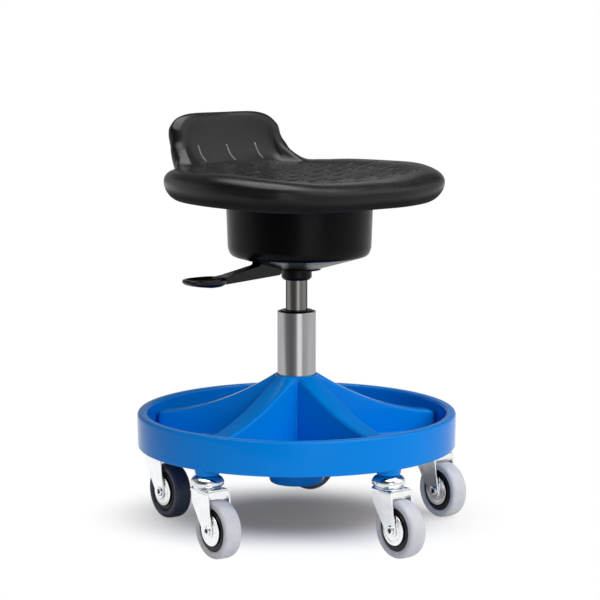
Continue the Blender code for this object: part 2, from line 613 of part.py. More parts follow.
def build_mechanism(steel, black, zinc, wood, parent):
    socket_r = 0.5 * SOCKET_D
    bore_low = 0.5 * PISTON_D + SEAT_GAP
    bore_high = bore_low - PISTON_TAPER
    window_foot = PISTON_TOP - 2.0 * RUN_GAP
    profile = [(bore_high, SOCKET_TOP), (socket_r, SOCKET_TOP),
               (socket_r, SOCKET_FOOT + COLLAR_CHAMFER),
               (socket_r - COLLAR_CHAMFER, SOCKET_FOOT), (bore_low, SOCKET_FOOT),
               (bore_high, PISTON_TOP)]
    socket = link("socket_tube", turned("socket_tube", profile, TURNED_SIDES), black, parent)
    half = 0.5 * LEVER_TONGUE_W + 3.0 * RUN_GAP
    outline = box_outline(-socket_r - CUT_PAST, 0.0, -half, half)
    window = link("window", prism("window", outline, window_foot, SOCKET_TOP + CUT_PAST))
    combine(socket, [window], "DIFFERENCE")

    washer_top = COVER_FOOT - SEAT_GAP
    washer = disc_tool("cover_washer", 0.5 * WASHER_D, washer_top - WASHER_T, washer_top,
                       COVER_SIDES, (0.0, -COVER_FORWARD))
    washer.parent = parent
    washer.data.materials.append(black)
    hole = disc_tool("hole", socket_r + SEAT_GAP, washer_top - CUT_PAST, washer_top + CUT_PAST,
                     TURNED_SIDES)
    gap = 0.5 * LEVER_ARM_W + 5.0 * RUN_GAP
    outline = box_outline(-WASHER_D, -COVER_SLOT_IN, -gap, gap)
    notch = link("notch", prism("notch", outline, washer_top - CUT_PAST, washer_top + CUT_PAST))
    combine(washer, [hole, notch], "DIFFERENCE")

    plate_outline = rounded_square(PLATE_W, PLATE_CORNER, 3)
    plate = link("mechanism_plate",
                 prism("mechanism_plate", plate_outline, PLATE_UNDER, PLATE_TOP), steel, parent)
    ears = []
    ear_in = 0.5 * LEVER_HUB_W + SEAT_GAP
    ear_low = arc((-LEVER_PIVOT_R, LEVER_PIVOT_Z), 0.5 * EAR_W, 180.0, 360.0, 4)
    ear_outline = ear_low + [(-LEVER_PIVOT_R + 0.5 * EAR_W, PLATE_UNDER + 0.5 * PLATE_T),
                             (-LEVER_PIVOT_R - 0.5 * EAR_W, PLATE_UNDER + 0.5 * PLATE_T)]
    for low in (-ear_in - EAR_T, ear_in):
        ears.append(link("ear", prism("ear", ear_outline, low, low + EAR_T, "XZ")))
    combine(plate, ears, "UNION")
    holes = []
    for place in screw_places():
        holes.append(disc_tool("hole", 0.5 * SCREW_D + SEAT_GAP, PLATE_UNDER - CUT_PAST,
                               PLATE_TOP + CUT_PAST, SMALL_SIDES, place))
    reach = ear_in + 2.0 * EAR_T
    pin_hole = [(0.0, reach), (0.5 * LEVER_PIN_D + SEAT_GAP, reach),
                (0.5 * LEVER_PIN_D + SEAT_GAP, -reach), (0.0, -reach)]
    hole = link("hole", turned("hole", pin_hole, SMALL_SIDES, "Y"))
    hole.data.transform(Matrix.Translation((-LEVER_PIVOT_R, 0.0, LEVER_PIVOT_Z)))
    combine(plate, holes + [hole], "DIFFERENCE")

    board_r = 0.5 * BOARD_D
    board = link("seat_board", disc_mesh("seat_board", board_r, BOARD_UNDER, BOARD_T), wood, parent)
    holes = []
    for place in screw_places():
        holes.append(disc_tool("hole", 0.5 * SCREW_D + SEAT_GAP, BOARD_UNDER - CUT_PAST,
                               PLATE_UNDER + SCREW_L + SEAT_GAP, SMALL_SIDES, place))
    combine(board, holes, "DIFFERENCE")

    for i, place in enumerate(screw_places()):
        head_top = PLATE_UNDER - SEAT_GAP
        head_r = 0.5 * SCREW_HEAD_D
        profile = [(0.0, PLATE_UNDER + SCREW_L - SEAT_GAP),
                   (0.5 * SCREW_D, PLATE_UNDER + SCREW_L - SEAT_GAP), (0.5 * SCREW_D, head_top),
                   (head_r, head_top), (head_r, head_top - 0.6 * SCREW_HEAD_H),
                   (0.6 * head_r, head_top - SCREW_HEAD_H), (0.0, head_top - SCREW_HEAD_H)]
        name = "plate_screw_%d" % (i + 1)
        link(name, turned(name, profile, SMALL_SIDES), zinc, parent, (place[0], place[1], 0.0))

    half = ear_in + EAR_T + SEAT_GAP
    pin_r = 0.5 * LEVER_PIN_D
    head_r = 0.5 * LEVER_PIN_HEAD_D
    end = half + LEVER_PIN_HEAD_T
    profile = [(0.0, end), (head_r, end), (head_r, half), (pin_r, half),
               (pin_r, -half), (head_r, -half), (head_r, -end), (0.0, -end)]
    link("lever_pin", turned("lever_pin", profile, SMALL_SIDES, "Y"), zinc, parent,
         (-LEVER_PIVOT_R, 0.0, LEVER_PIVOT_Z))


def disc_mesh(name, radius, foot, height):
    profile = [(0.0, foot + height), (radius, foot + height), (radius, foot), (0.0, foot)]
    return turned(name, profile, COVER_SIDES)


def build_cover(mat, parent):
    """Cup a little ahead of the column, opened for the socket and for the lever."""
    top_r = 0.5 * COVER_TOP_D
    corner_r = 0.5 * COVER_CORNER_D
    corner_z = COVER_FOOT + COVER_CORNER_H
    flat_r = 0.5 * WASHER_D
    mid = (corner_r - COVER_CORNER_R, corner_z + 0.4 * COVER_CORNER_R)
    outside = [(0.0, COVER_FOOT), (flat_r, COVER_FOOT)]
    outside += arc(mid, COVER_CORNER_R, -70.0, 0.0, 2) + [(top_r, COVER_TOP)]
    inside = [(top_r - COVER_T, COVER_TOP)]
    inside += arc(mid, COVER_CORNER_R - COVER_T, 0.0, -70.0, 2)
    inside += [(flat_r, COVER_FOOT + COVER_T), (0.0, COVER_FOOT + COVER_T)]
    cover = link("mechanism_cover", turned("mechanism_cover", outside + inside, COVER_SIDES),
                 mat, parent)
    cover.data.transform(Matrix.Translation((0.0, -COVER_FORWARD, 0.0)))
    hole = disc_tool("hole", 0.5 * SOCKET_D + SEAT_GAP, COVER_FOOT - CUT_PAST,
                     COVER_FOOT + COVER_T + CUT_PAST, TURNED_SIDES)
    half = 0.5 * COVER_SLOT_W
    outline = box_outline(-COVER_SLOT_OUT, -COVER_SLOT_IN, -half, half)
    slot = link("slot", prism("slot", outline, COVER_FOOT - CUT_PAST, LEVER_PIVOT_Z))
    combine(cover, [hole, slot], "DIFFERENCE")
    return cover


def paddle():
    """Oval finger paddle with a dished top, laid up from rings."""
    middle = -LEVER_TIP_R + 0.5 * PADDLE_L
    rings = [(0.20, PADDLE_TOP - PADDLE_DISH), (0.55, PADDLE_TOP - 0.85 * PADDLE_DISH),
             (0.80, PADDLE_TOP - 0.4 * PADDLE_DISH), (0.90, PADDLE_TOP),
             (0.97, PADDLE_TOP - 0.12 * PADDLE_T), (1.00, PADDLE_TOP - 0.40 * PADDLE_T),
             (0.95, PADDLE_TOP - 0.75 * PADDLE_T), (0.80, PADDLE_TOP - PADDLE_T)]
    rows = []
    for share, z in rings:
        oval = arc((0.0, 0.0), share, 0.0, 360.0, PADDLE_SIDES)[:-1]
        row = []
        for x, y in oval:
            thin = 1.0 - PADDLE_TIP_THIN * max(0.0, -x)
            lift = PADDLE_TIP_UP * max(0.0, -x)
            row.append((middle + 0.5 * PADDLE_L * x, 0.5 * PADDLE_W * y,
                        PADDLE_TOP + lift - thin * (PADDLE_TOP - z)))
        rows.append(row)
    return link("paddle", loft("paddle", rows, 40.0))


def build_lever(mat, parent):
    """Arm with a panelled side, heel, pivot eye and a tongue over the valve pin."""
    paddle_in = -LEVER_TIP_R + PADDLE_L
    root = paddle_in - 0.25 * PADDLE_L
    arm_top = PADDLE_TOP - 0.05 * PADDLE_T
    arm_foot = PADDLE_TOP - 0.9 * PADDLE_T
    heel_foot = arm_foot + LEVER_HEEL_RISE
    eye = (-LEVER_PIVOT_R, LEVER_PIVOT_Z)
    eye_r = LEVER_EYE_R
    heel_x = -LEVER_HEEL_R
    corner = LEVER_PANEL_RIM
    slot_x = -COVER_SLOT_OUT + eye_r
    outline = [(root, arm_foot), (heel_x - corner, heel_foot), (heel_x, heel_foot + corner)]
    outline += [(heel_x, eye[1] - 0.4 * eye_r)]
    outline += [(eye[0] - 2.2 * eye_r, eye[1] - 0.4 * eye_r)]
    outline += [(slot_x, COVER_FOOT + eye_r), (root, arm_top)]
    half = 0.5 * LEVER_ARM_W
    arm_mesh = prism("lever", outline, -half, half, "XZ")
    bm = bmesh.new()
    bm.from_mesh(arm_mesh)
    sides = [f for f in bm.faces if abs(f.normal.y) > 0.9]
    bmesh.ops.inset_individual(bm, faces=sides, thickness=LEVER_PANEL_RIM)
    for face in sides:
        push = -math.copysign(LEVER_PANEL_DEPTH, face.normal.y)
        bmesh.ops.translate(bm, verts=list(face.verts), vec=(0.0, push, 0.0))
    arm_mesh = finish_mesh(bm, "lever")
    arm = link("lever", arm_mesh)

    hub_half = 0.5 * LEVER_HUB_W
    eye_points = [(eye_r, hub_half), (eye_r, -hub_half)]
    profile = [(0.0, hub_half)] + eye_points + [(0.0, -hub_half)]
    hub = link("hub", turned("hub", profile, SMALL_SIDES, "Y"))
    hub.data.transform(Matrix.Translation((eye[0], 0.0, eye[1])))

    tongue_foot = LEVER_TONGUE_TOP - LEVER_TONGUE_T
    reach = 0.5 * VALVE_PIN_D
    back = eye[0] - 0.5 * eye_r
    front = eye[0] + 0.5 * eye_r
    points = [(back, eye[1] - 0.5 * eye_r), (front, eye[1] - 0.5 * eye_r),
              (front, tongue_foot), (reach, tongue_foot), (reach, LEVER_TONGUE_TOP),
              (back, LEVER_TONGUE_TOP)]
    half = 0.5 * LEVER_TONGUE_W
    tongue = link("tongue", prism("tongue", points, -half, half, "XZ"))
    combine(arm, [hub, tongue, paddle()], "UNION")
    hole_r = 0.5 * LEVER_PIN_D + RUN_GAP
    profile = [(0.0, LEVER_HUB_W), (hole_r, LEVER_HUB_W), (hole_r, -LEVER_HUB_W),
               (0.0, -LEVER_HUB_W)]
    hole = link("hole", turned("hole", profile, SMALL_SIDES, "Y"))
    hole.data.transform(Matrix.Translation((eye[0], 0.0, eye[1])))
    combine(arm, [hole], "DIFFERENCE")
    arm.data.transform(Matrix.Translation((-eye[0], 0.0, -eye[1])))
    arm.data.materials.clear()
    arm.data.materials.append(mat)
    arm.parent = parent
    return arm


def bezier(a, b, c, d, t):
    u = 1.0 - t
    return a * u ** 3 + b * 3 * u * u * t + c * 3 * u * t * t + d * t ** 3


def spline(values, place):
    """Smooth curve through a closed list of values, read at a place along it."""
    count = len(values)
    i = int(math.floor(place)) % count
    t = place - math.floor(place)
    a, b, c, d = (values[(i + k) % count] for k in (-1, 0, 1, 2))
    rise = 0.5 * (c - a)
    fall = 0.5 * (d - b)
    return (2 * t ** 3 - 3 * t * t + 1) * b + (t ** 3 - 2 * t * t + t) * rise \
        + (-2 * t ** 3 + 3 * t * t) * c + (t ** 3 - t * t) * fall


def seat_stations():
    """Crest, lower edge and pan edge points all round the seat."""
    right = [tuple(row) for row in SEAT_RIM]
    left = [(-r[0], r[1], r[2], -r[3], r[4], r[5], -r[6], r[7], r[8])
            for r in SEAT_RIM[-2:0:-1]]
    rows = right + left
    crest = [Vector((r[0] * MM, r[1] * MM, PAN_Z + r[2] * MM)) for r in rows]
    lower = [Vector((r[3] * MM, r[4] * MM, PAD_UNDER + r[5] * MM)) for r in rows]
    pan = [Vector((r[6] * MM, r[7] * MM, PAN_Z + r[8] * MM)) for r in rows]
    stations = []
    for i in range(SEAT_SIDES):
        place = len(rows) * i / SEAT_SIDES
        stations.append((spline(crest, place), spline(lower, place), spline(pan, place)))
    return stations


def flat(vector):
    return Vector((vector.x, vector.y, 0.0)).normalized()


def build_seat(mat, parent):
    """Pad laid up ring by ring: pan, inner bank, crest, rolled edge, underside, recess."""
    stations = seat_stations()
    middle = Vector((0.0, PAN_LOW_Y, PAN_Z - SEAT_DISH))
    centre = Vector((0.0, 0.0, 0.0))
    recess_r = 0.5 * BOARD_D + SEAT_GAP
    recess_top = BOARD_UNDER + BOARD_T + SEAT_GAP
    bm = bmesh.new()
    rings = []

    def ring(points):
        rings.append([bm.verts.new(p) for p in points])

    for share in (0.35, 0.70):
        ring([middle.lerp(pan, share) + Vector((0, 0, -SEAT_DISH * share * (1 - share)))
              for _, _, pan in stations])
    for t in (0.0, 0.25, 0.5, 0.72, 0.9):
        points = []
        for crest, _, pan in stations:
            out = flat(crest - pan)
            lead = (pan - middle).normalized() * SEAT_BANK_LEAD * (crest - pan).length
            points.append(bezier(pan, pan + lead, crest - out * SEAT_INNER_ROLL, crest, t))
        ring(points)
    for t in (0.0, 0.14, 0.32, 0.5, 0.7, 0.88, 1.0):
        points = []
        for crest, lower, pan in stations:
            out = flat(crest - pan)
            points.append(bezier(crest, crest + out * SEAT_ROLL, lower + out * SEAT_ROLL, lower, t))
        ring(points)
    turns = [math.atan2(lower.y, lower.x) for _, lower, _ in stations]
    for radius, z in ((0.5 * SEAT_FLAT_D, PAD_UNDER), (recess_r, PAD_UNDER),
                      (recess_r, recess_top)):
        ring([centre + Vector((radius * math.cos(a), radius * math.sin(a), z)) for a in turns])
    for upper, lower in zip(rings, rings[1:]):
        for i in range(SEAT_SIDES):
            j = (i + 1) % SEAT_SIDES
            bm.faces.new((upper[i], upper[j], lower[j], lower[i]))
    top = bm.verts.new(middle)
    foot = bm.verts.new(Vector((0.0, 0.0, recess_top)))
    for i in range(SEAT_SIDES):
        j = (i + 1) % SEAT_SIDES
        bm.faces.new((rings[0][i], top, rings[0][j]))
        bm.faces.new((rings[-1][j], foot, rings[-1][i]))
    return link("seat_pad", finish_mesh(bm, "seat_pad", 60.0), mat, parent)


def fork_mesh():
    """Pressed fork: bent channel trimmed to the side outline, with its raceway and lip."""
    axle_z = WHEEL_R
    foot = axle_z - FORK_END_R - CUT_PAST
    bend_in = FORK_BEND_R - FORK_T
    turn_z = CROWN_TOP - FORK_BEND_R
    reach = FORK_OUT - FORK_BEND_R
    channel = [(-FORK_OUT, foot)] + arc((-reach, turn_z), FORK_BEND_R, 180.0, 90.0, 1)
    channel += arc((reach, turn_z), FORK_BEND_R, 90.0, 0.0, 1) + [(FORK_OUT, foot), (FORK_IN, foot)]
    channel += arc((reach, turn_z), bend_in, 0.0, 90.0, 1)
    channel += arc((-reach, turn_z), bend_in, 90.0, 180.0, 1) + [(-FORK_IN, foot)]
    fork = link("fork", prism("fork", channel, -TRAIL - 2.0 * FORK_END_R, 2.0 * FORK_LEAD, "XZ"))
    eye = (-TRAIL, axle_z)
    shoulder = CROWN_TOP - FORK_LIP
    side = [(FORK_LEAD, CROWN_TOP + CUT_PAST), (-FORK_REAR, CROWN_TOP + CUT_PAST)]
    side += [(-FORK_REAR, shoulder)] + arc(eye, FORK_END_R, 195.0, 325.0, 5)
    side += [(FORK_LEAD, CROWN_TOP - FORK_LEAD_DROP)]
    half = FORK_OUT + CUT_PAST
    trim = link("trim", prism("trim", side, -half, half, "YZ"))
    combine(fork, [trim], "INTERSECT")
    lip_outline = box_outline(-FORK_REAR, -FORK_REAR + FORK_T, shoulder, CROWN_TOP - 0.4 * FORK_T)
    lip_half = FORK_IN + 0.4 * FORK_T
    lip = link("lip", prism("lip", lip_outline, -lip_half, lip_half, "YZ"))
    race = disc_tool("race", 0.5 * RACE_D, CROWN_TOP - 0.5 * FORK_T, RACE_TOP, SMALL_SIDES)
    combine(fork, [lip, race], "UNION")
    hole = disc_tool("hole", STEM_HOLE_R, CROWN_UNDER - CUT_PAST, RACE_TOP + CUT_PAST, SMALL_SIDES)
    profile = [(0.0, half), (AXLE_HOLE_R, half), (AXLE_HOLE_R, -half), (0.0, -half)]
    axle_hole = link("axle_hole", turned("axle_hole", profile, SMALL_SIDES, "X"))
    axle_hole.data.transform(Matrix.Translation((0.0, -TRAIL, axle_z)))
    combine(fork, [hole, axle_hole], "DIFFERENCE")
    mesh = fork.data
    bpy.data.objects.remove(fork, do_unlink=True)
    mesh.name = "castor_fork"
    return mesh


def stem_mesh():
    stem_r = 0.5 * STEM_D
    cup_r = 0.5 * RACE_CUP_D
    skirt = CUP_TOP - RACE_CUP_SKIRT
    head_top = CROWN_UNDER - RUN_GAP
    head_foot = head_top - STEM_HEAD_T
    head_r = 0.5 * STEM_HEAD_D
    profile = [(0.0, CUP_TOP + STEM_L), (stem_r, CUP_TOP + STEM_L), (stem_r, CUP_TOP),
               (cup_r, CUP_TOP),
               (cup_r - RACE_CUP_DRAFT, skirt), (cup_r - RACE_CUP_DRAFT - RACE_CUP_T, skirt),
               (cup_r - RACE_CUP_T - RUN_GAP, CUP_INNER_TOP), (stem_r, CUP_INNER_TOP),
               (stem_r, head_top), (head_r, head_top), (head_r, head_foot), (0.0, head_foot)]
    return turned("castor_stem", profile, SMALL_SIDES)


def tyre_mesh():
    tread = WHEEL_R / math.cos(math.pi / WHEEL_SIDES)
    half = 0.5 * WHEEL_W
    core = 0.5 * WHEEL_CORE_D
    side = [(core, 0.92 * half), (tread - TYRE_SHOULDER, half), (tread, 0.55 * half)]
    profile = side + [(r, -x) for r, x in reversed(side)]
    return turned("castor_tyre", profile, WHEEL_SIDES, "X", True)


def rim_mesh():
    core = 0.5 * WHEEL_CORE_D - SEAT_GAP
    hub_r = 0.5 * WHEEL_HUB_D
    bore = 0.5 * AXLE_D + RUN_GAP
    hub = 0.5 * WHEEL_HUB_W
    edge = 0.40 * WHEEL_W
    side = [(bore, hub), (hub_r, hub), (core, edge)]
    profile = side + [(r, -x) for r, x in reversed(side)]
    return turned("castor_rim", profile, WHEEL_SIDES, "X", True)


def guard_mesh(side):
    hub_r = 0.5 * WHEEL_HUB_D + 2.0 * SEAT_GAP
    guard_r = 0.5 * GUARD_D
    hole = AXLE_HOLE_R
    edge = GUARD_IN - GUARD_DISH * (guard_r - hub_r) / (0.5 * WHEEL_CORE_D - hub_r)
    profile = [(hole, GUARD_IN + GUARD_T), (hub_r, GUARD_IN + GUARD_T), (guard_r, edge + GUARD_T),
               (guard_r, edge), (hub_r, GUARD_IN), (hole, GUARD_IN)]
    profile = [(r, side * x) for r, x in profile]
    return turned("castor_guard", profile, SMALL_SIDES, "X", True)


def axle_mesh():
    shank = 0.5 * AXLE_D
    head = 0.5 * AXLE_HEAD_D
    recess = 0.5 * AXLE_RECESS_D
    end = AXLE_SEAT + AXLE_HEAD_T
    floor = AXLE_SEAT - AXLE_RECESS
    side = [(0.0, floor), (recess, floor), (recess, end),
            (head, AXLE_SEAT + 0.5 * AXLE_HEAD_T), (head, AXLE_SEAT), (shank, AXLE_SEAT)]
    profile = side + [(r, -x) for r, x in reversed(side)]
    return turned("castor_axle", profile, SMALL_SIDES, "X")


def build_castors(zinc, core, grey, dark):
    shapes = {
        "stem": stem_mesh(), "fork": fork_mesh(), "axle": axle_mesh(), "rim": rim_mesh(),
        "guard_left": guard_mesh(-1.0), "guard_right": guard_mesh(1.0),
    }
    shapes["fork"].shade_smooth()
    shapes["fork"].set_sharp_from_angle(angle=math.radians(30.0))
    tyres = {False: tyre_mesh(), True: tyre_mesh()}
    for i, angle in enumerate(ring_places(CASTOR_COUNT)):
        name = "castor_%d_" % (i + 1)
        place = (CASTOR_CIRCLE_R * math.sin(angle), -CASTOR_CIRCLE_R * math.cos(angle), 0.0)
        swivel = empty(name + "swivel", place, math.radians(TRAIL_TURNS[i]))
        hub = empty(name + "wheel_axis", (0.0, -TRAIL, WHEEL_R), 0.0, swivel)
        link(name + "stem", shapes["stem"], zinc, None, place)
        link(name + "fork", shapes["fork"], zinc, swivel)
        for key in ("axle", "guard_left", "guard_right"):
            link(name + key, shapes[key], zinc, hub)
        link(name + "rim", shapes["rim"], core, hub)
        is_dark = i in DARK_TYRES
        link(name + "tyre", tyres[is_dark], dark if is_dark else grey, hub)


def main():
    clear_scene()
    blue = material("blue moulded plastic", "#0a6fc8", 0.42)
    black = material("black plastic", "#101012", 0.45)
    foam = material("black skinned foam", "#141416", 0.55)
    steel = material("bright steel tube", "#9a9a9c", 0.28, 1.0)
    zinc = material("zinc-plated steel", "#c9ccd2", 0.3, 1.0)
    brass = material("brass", "#b08d4a", 0.3, 1.0)
    wood = material("birch plywood", "#c8a878", 0.6)
    core = material("black wheel core", "#16161a", 0.5)
    grey = material("grey rubber", "#b9bbc2", 0.6)
    dark = material("dark rubber", "#23232b", 0.6)

    seat_turn = empty("seat_turn_axis")
    seat_lift = empty("seat_lift_axis", parent=seat_turn)
    lever_axis = empty("lever_axis", (-LEVER_PIVOT_R, 0.0, LEVER_PIVOT_Z), 0.0, seat_lift)
    valve_axis = empty("valve_axis", parent=seat_lift)

    build_tray(blue)
    build_column(steel, black)
    build_castors(zinc, core, grey, dark)
    build_rod(steel, seat_turn)
    build_pressure_tube(steel, brass, seat_lift, valve_axis)
    build_mechanism(steel, black, zinc, wood, seat_lift)
    build_cover(black, seat_lift)
    build_seat(foam, seat_lift)
    build_lever(black, lever_axis)
    bpy.context.view_layer.update()


main()
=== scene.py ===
"""Looks of the low work stool: foam seat, moulded tray base, gas spring and castors.

Lengths are drawn in millimetres and scaled once, when a mesh becomes a piece.
The sitter faces -Y, +Z is up, and the floor is at z = 0 under the column.
"""
import math

import bmesh
import bpy
from mathutils import Matrix, Vector
from mathutils.bvhtree import BVHTree
from mathutils.geometry import delaunay_2d_cdt


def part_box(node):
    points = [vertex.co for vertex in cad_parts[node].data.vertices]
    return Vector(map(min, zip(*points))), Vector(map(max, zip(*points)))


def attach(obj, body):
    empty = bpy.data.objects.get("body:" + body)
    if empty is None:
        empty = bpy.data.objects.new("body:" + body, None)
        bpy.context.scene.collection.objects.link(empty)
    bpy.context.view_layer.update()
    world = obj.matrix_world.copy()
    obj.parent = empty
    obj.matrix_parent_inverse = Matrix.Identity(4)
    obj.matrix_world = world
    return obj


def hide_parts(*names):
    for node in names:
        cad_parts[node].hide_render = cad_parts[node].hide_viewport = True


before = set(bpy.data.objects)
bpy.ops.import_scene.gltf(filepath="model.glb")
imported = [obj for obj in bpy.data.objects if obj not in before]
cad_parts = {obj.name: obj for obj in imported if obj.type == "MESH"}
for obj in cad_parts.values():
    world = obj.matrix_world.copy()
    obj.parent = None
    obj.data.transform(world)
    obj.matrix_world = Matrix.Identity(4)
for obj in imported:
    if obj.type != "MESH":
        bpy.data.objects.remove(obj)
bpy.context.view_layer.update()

MM = 0.001

# Sizes that the looks share with the solids
CASTORS = 5
BASE_TURN = -3.3
CASTOR_R = 190.5
TRAIL = 24.0
TRAIL_TURNS = (-3.0, -3.0, 80.0, -5.0, -4.0)
DARK_TYRES = (3, 4)
WHEEL_R = 36.5
CROWN_UNDER, CROWN_TOP = 83.5, 85.9
CUP_TOP = 100.2
BOSS_FACE = 100.5
RIM_FOOT, RIM_CREST = 108.5, 152.5
FLOOR_UNDER, FLOOR_TOP = 111.5, 115.5
HUB_TOP, HUB_BOTTOM = 200.5, 56.5
TUBE_FOOT, TUBE_TOP, TUBE_TAPER = 59.5, 282.5, 70.0
SOCKET_FOOT, COVER_FOOT, COVER_TOP = 323.5, 339.0, 422.0
COVER_FORWARD = 6.0
PAD_UNDER, PAN_Z = 422.3, 448.3
PIVOT_X, PIVOT_Z = -40.0, 373.0
PADDLE_TOP = 337.0
TONGUE_LOW, TONGUE_HIGH = 413.9, 418.4


# Finishes

NOISE_LOW, NOISE_HIGH = 0.3, 0.7  # most of a noise pattern lies between these
UNDER_START, UNDER_FULL, UNDER_ROUGH = -0.25, -0.6, 0.9
CELL, CELL_DEPTH, CELL_STRENGTH = 1.6, 0.08, 0.4
LENGTHWISE, ACROSS_SHEET = (1.0, 1.0, 0.02), (0.15, 1.0, 1.0)


def linear(colour):
    """A hex sRGB colour as linear RGBA."""
    channels = [int(colour[i:i + 2], 16) / 255.0 for i in (1, 3, 5)]
    bent = [c / 12.92 if c <= 0.04045 else ((c + 0.055) / 1.055) ** 2.4 for c in channels]
    return (*bent, 1.0)


def add(tree, kind, inputs=None, **settings):
    """Adds a node, sets it up, and fills or links its inputs. A node given as an input stands
    for its first output."""
    node = tree.nodes.new(kind)
    for key, value in settings.items():
        setattr(node, key, value)
    for key, value in (inputs or {}).items():
        if isinstance(value, bpy.types.Node):
            value = value.outputs[0]
        if isinstance(value, bpy.types.NodeSocket):
            tree.links.new(value, node.inputs[key])
        else:
            node.inputs[key].default_value = value
    return node


def finish(name, base, tones=None, gloss=None, grain=None, stretch=None, **shader):
    """A new material, with plain values on the shader's own sockets. Tones: two colours, size
    and detail of the pattern between them. Gloss: two roughnesses and the size of theirs.
    Grain: size, detail, depth and strength. All sizes are in millimetres."""
    mat = bpy.data.materials.new(name)
    mat.use_nodes = True
    tree = mat.node_tree
    bsdf = tree.nodes["Principled BSDF"]
    for key, value in shader.items():
        bsdf.inputs[key.replace("_", " ")].default_value = value
    bsdf.inputs["Base Color"].default_value = linear(base)
    mat.diffuse_color = linear(base)
    place = add(tree, "ShaderNodeTexCoord").outputs["Object"]
    if stretch:
        place = add(tree, "ShaderNodeMapping", {"Vector": place, "Scale": stretch}).outputs[0]
    if tones:
        dark, light, size_mm, detail = tones
        patches = add(tree, "ShaderNodeTexNoise",
                      {"Vector": place, "Scale": 1.0 / (size_mm * MM), "Detail": detail})
        ramp = add(tree, "ShaderNodeValToRGB", {"Fac": patches})
        first, last = ramp.color_ramp.elements
        first.position, first.color = NOISE_LOW, linear(dark)
        last.position, last.color = NOISE_HIGH, linear(light)
        tree.links.new(ramp.outputs[0], bsdf.inputs["Base Color"])
    if gloss:
        low, high, size_mm = gloss
        wear = add(tree, "ShaderNodeTexNoise", {"Vector": place, "Scale": 1.0 / (size_mm * MM)})
        spread = add(tree, "ShaderNodeMapRange",
                     {"Value": wear, "From Min": NOISE_LOW, "From Max": NOISE_HIGH,
                      "To Min": low, "To Max": high})
        tree.links.new(spread.outputs[0], bsdf.inputs["Roughness"])
    if grain:
        size_mm, detail, depth_mm, strength = grain
        specks = add(tree, "ShaderNodeTexNoise",
                     {"Vector": place, "Scale": 1.0 / (size_mm * MM), "Detail": detail})
        bump = add(tree, "ShaderNodeBump",
                   {"Height": specks, "Distance": depth_mm * MM, "Strength": strength})
        tree.links.new(bump.outputs[0], bsdf.inputs["Normal"])
    return mat, tree, bsdf, place


def skinned_foam():
    """Integral-skin polyurethane, moulded: a dull leathery grain over soft black foam. Below
    the parting line the skin is left matt."""
    mat, tree, bsdf, place = finish(
        "integral skin polyurethane", "#141415", ("#131314", "#171718", 45.0, 3.0),
        (0.24, 0.31, 30.0), Specular_IOR_Level=0.22)
    facing = add(tree, "ShaderNodeNewGeometry").outputs["Normal"]
    way = add(tree, "ShaderNodeSeparateXYZ", {0: facing})
    under = add(tree, "ShaderNodeMapRange",
                {"Value": way.outputs["Z"], "From Min": UNDER_START, "From Max": UNDER_FULL})
    matt = add(tree, "ShaderNodeMix",
               {"Factor": under, "A": bsdf.inputs["Roughness"].links[0].from_socket,
                "B": UNDER_ROUGH})
    tree.links.new(matt.outputs[0], bsdf.inputs["Roughness"])
    cells = add(tree, "ShaderNodeTexVoronoi", {"Vector": place, "Scale": 1.0 / (CELL * MM)},
                feature="SMOOTH_F1")
    bump = add(tree, "ShaderNodeBump",
               {"Height": cells, "Distance": CELL_DEPTH * MM, "Strength": CELL_STRENGTH})
    tree.links.new(bump.outputs[0], bsdf.inputs["Normal"])
    return mat


def black_moulding(name, dark, light, low, high, shine):
    """Polypropylene, nylon or acetal, spark-eroded tool: a fine even grain, satin black."""
    return finish(name, dark, (dark, light, 25.0, 3.0), (low, high, 18.0), (0.7, 2.0, 0.04, 0.4),
                  Specular_IOR_Level=shine)[0]


def drawn_tube(name, dark, light, low, high, band_mm, edge):
    """Steel tube, drawn and polished lengthwise: fine lines that run up the tube."""
    return finish(name, light, (dark, light, band_mm, 3.0), (low, high, band_mm),
                  (0.5, 2.0, 0.02, 0.3), LENGTHWISE, Metallic=1.0, Specular_Tint=linear(edge))[0]


def zinc_plate(name, dark, light, low, high):
    """Pressed steel, bright zinc plated: pale, a little cloudy, with soft reflections."""
    return finish(name, light, (dark, light, 14.0, 4.0), (low, high, 9.0), Metallic=1.0)[0]


def tyre_rubber(name, dark, light):
    """Thermoplastic rubber, moulded: dull, smooth, with faint scuffs from rolling."""
    return finish(name, light, (dark, light, 12.0, 6.0), (0.45, 0.62, 8.0),
                  (1.1, 6.0, 0.06, 0.4), IOR=1.5)[0]


FOAM = skinned_foam()
# The same skin over the raised beads, closer to gloss, and painted pale grey as a stand-in for the
# highlight along them
PAINTED_BEAD_HIGHLIGHT = finish("bead skin painted pale for highlight", "#77777a", ("#6d6d70", "#808083", 6.0, 3.0),
                   (0.26, 0.34, 5.0), Specular_IOR_Level=0.5)[0]
# Impact-resistant polypropylene, moulded: deep even blue, half gloss, smooth
BLUE = finish("moulded blue polypropylene", "#0080dd", ("#007edb", "#0082e0", 90.0, 3.0),
              (0.12, 0.16, 60.0), Specular_IOR_Level=0.09)[0]
COVER_BLACK = black_moulding("black polypropylene cover", "#030304", "#050506", 0.26, 0.32, 0.10)
NYLON = black_moulding("black nylon", "#08080a", "#0c0c0e", 0.26, 0.34, 0.13)
LEVER_BLACK = black_moulding("black acetal", "#070709", "#0a0a0c", 0.14, 0.20, 0.28)
CORE_BLACK = black_moulding("black wheel core", "#0c0d11", "#14151a", 0.32, 0.42, 0.3)
TUBE = drawn_tube("polished steel tube", "#a4a4a6", "#b0b0b2", 0.13, 0.20, 1.6, "#e0e0e0")
ROD = drawn_tube("dark chromed steel", "#72716f", "#7f7e7c", 0.08, 0.12, 2.5, "#707070")
ZINC = zinc_plate("bright zinc plated steel", "#f1f3f5", "#fbfcfd", 0.18, 0.25)
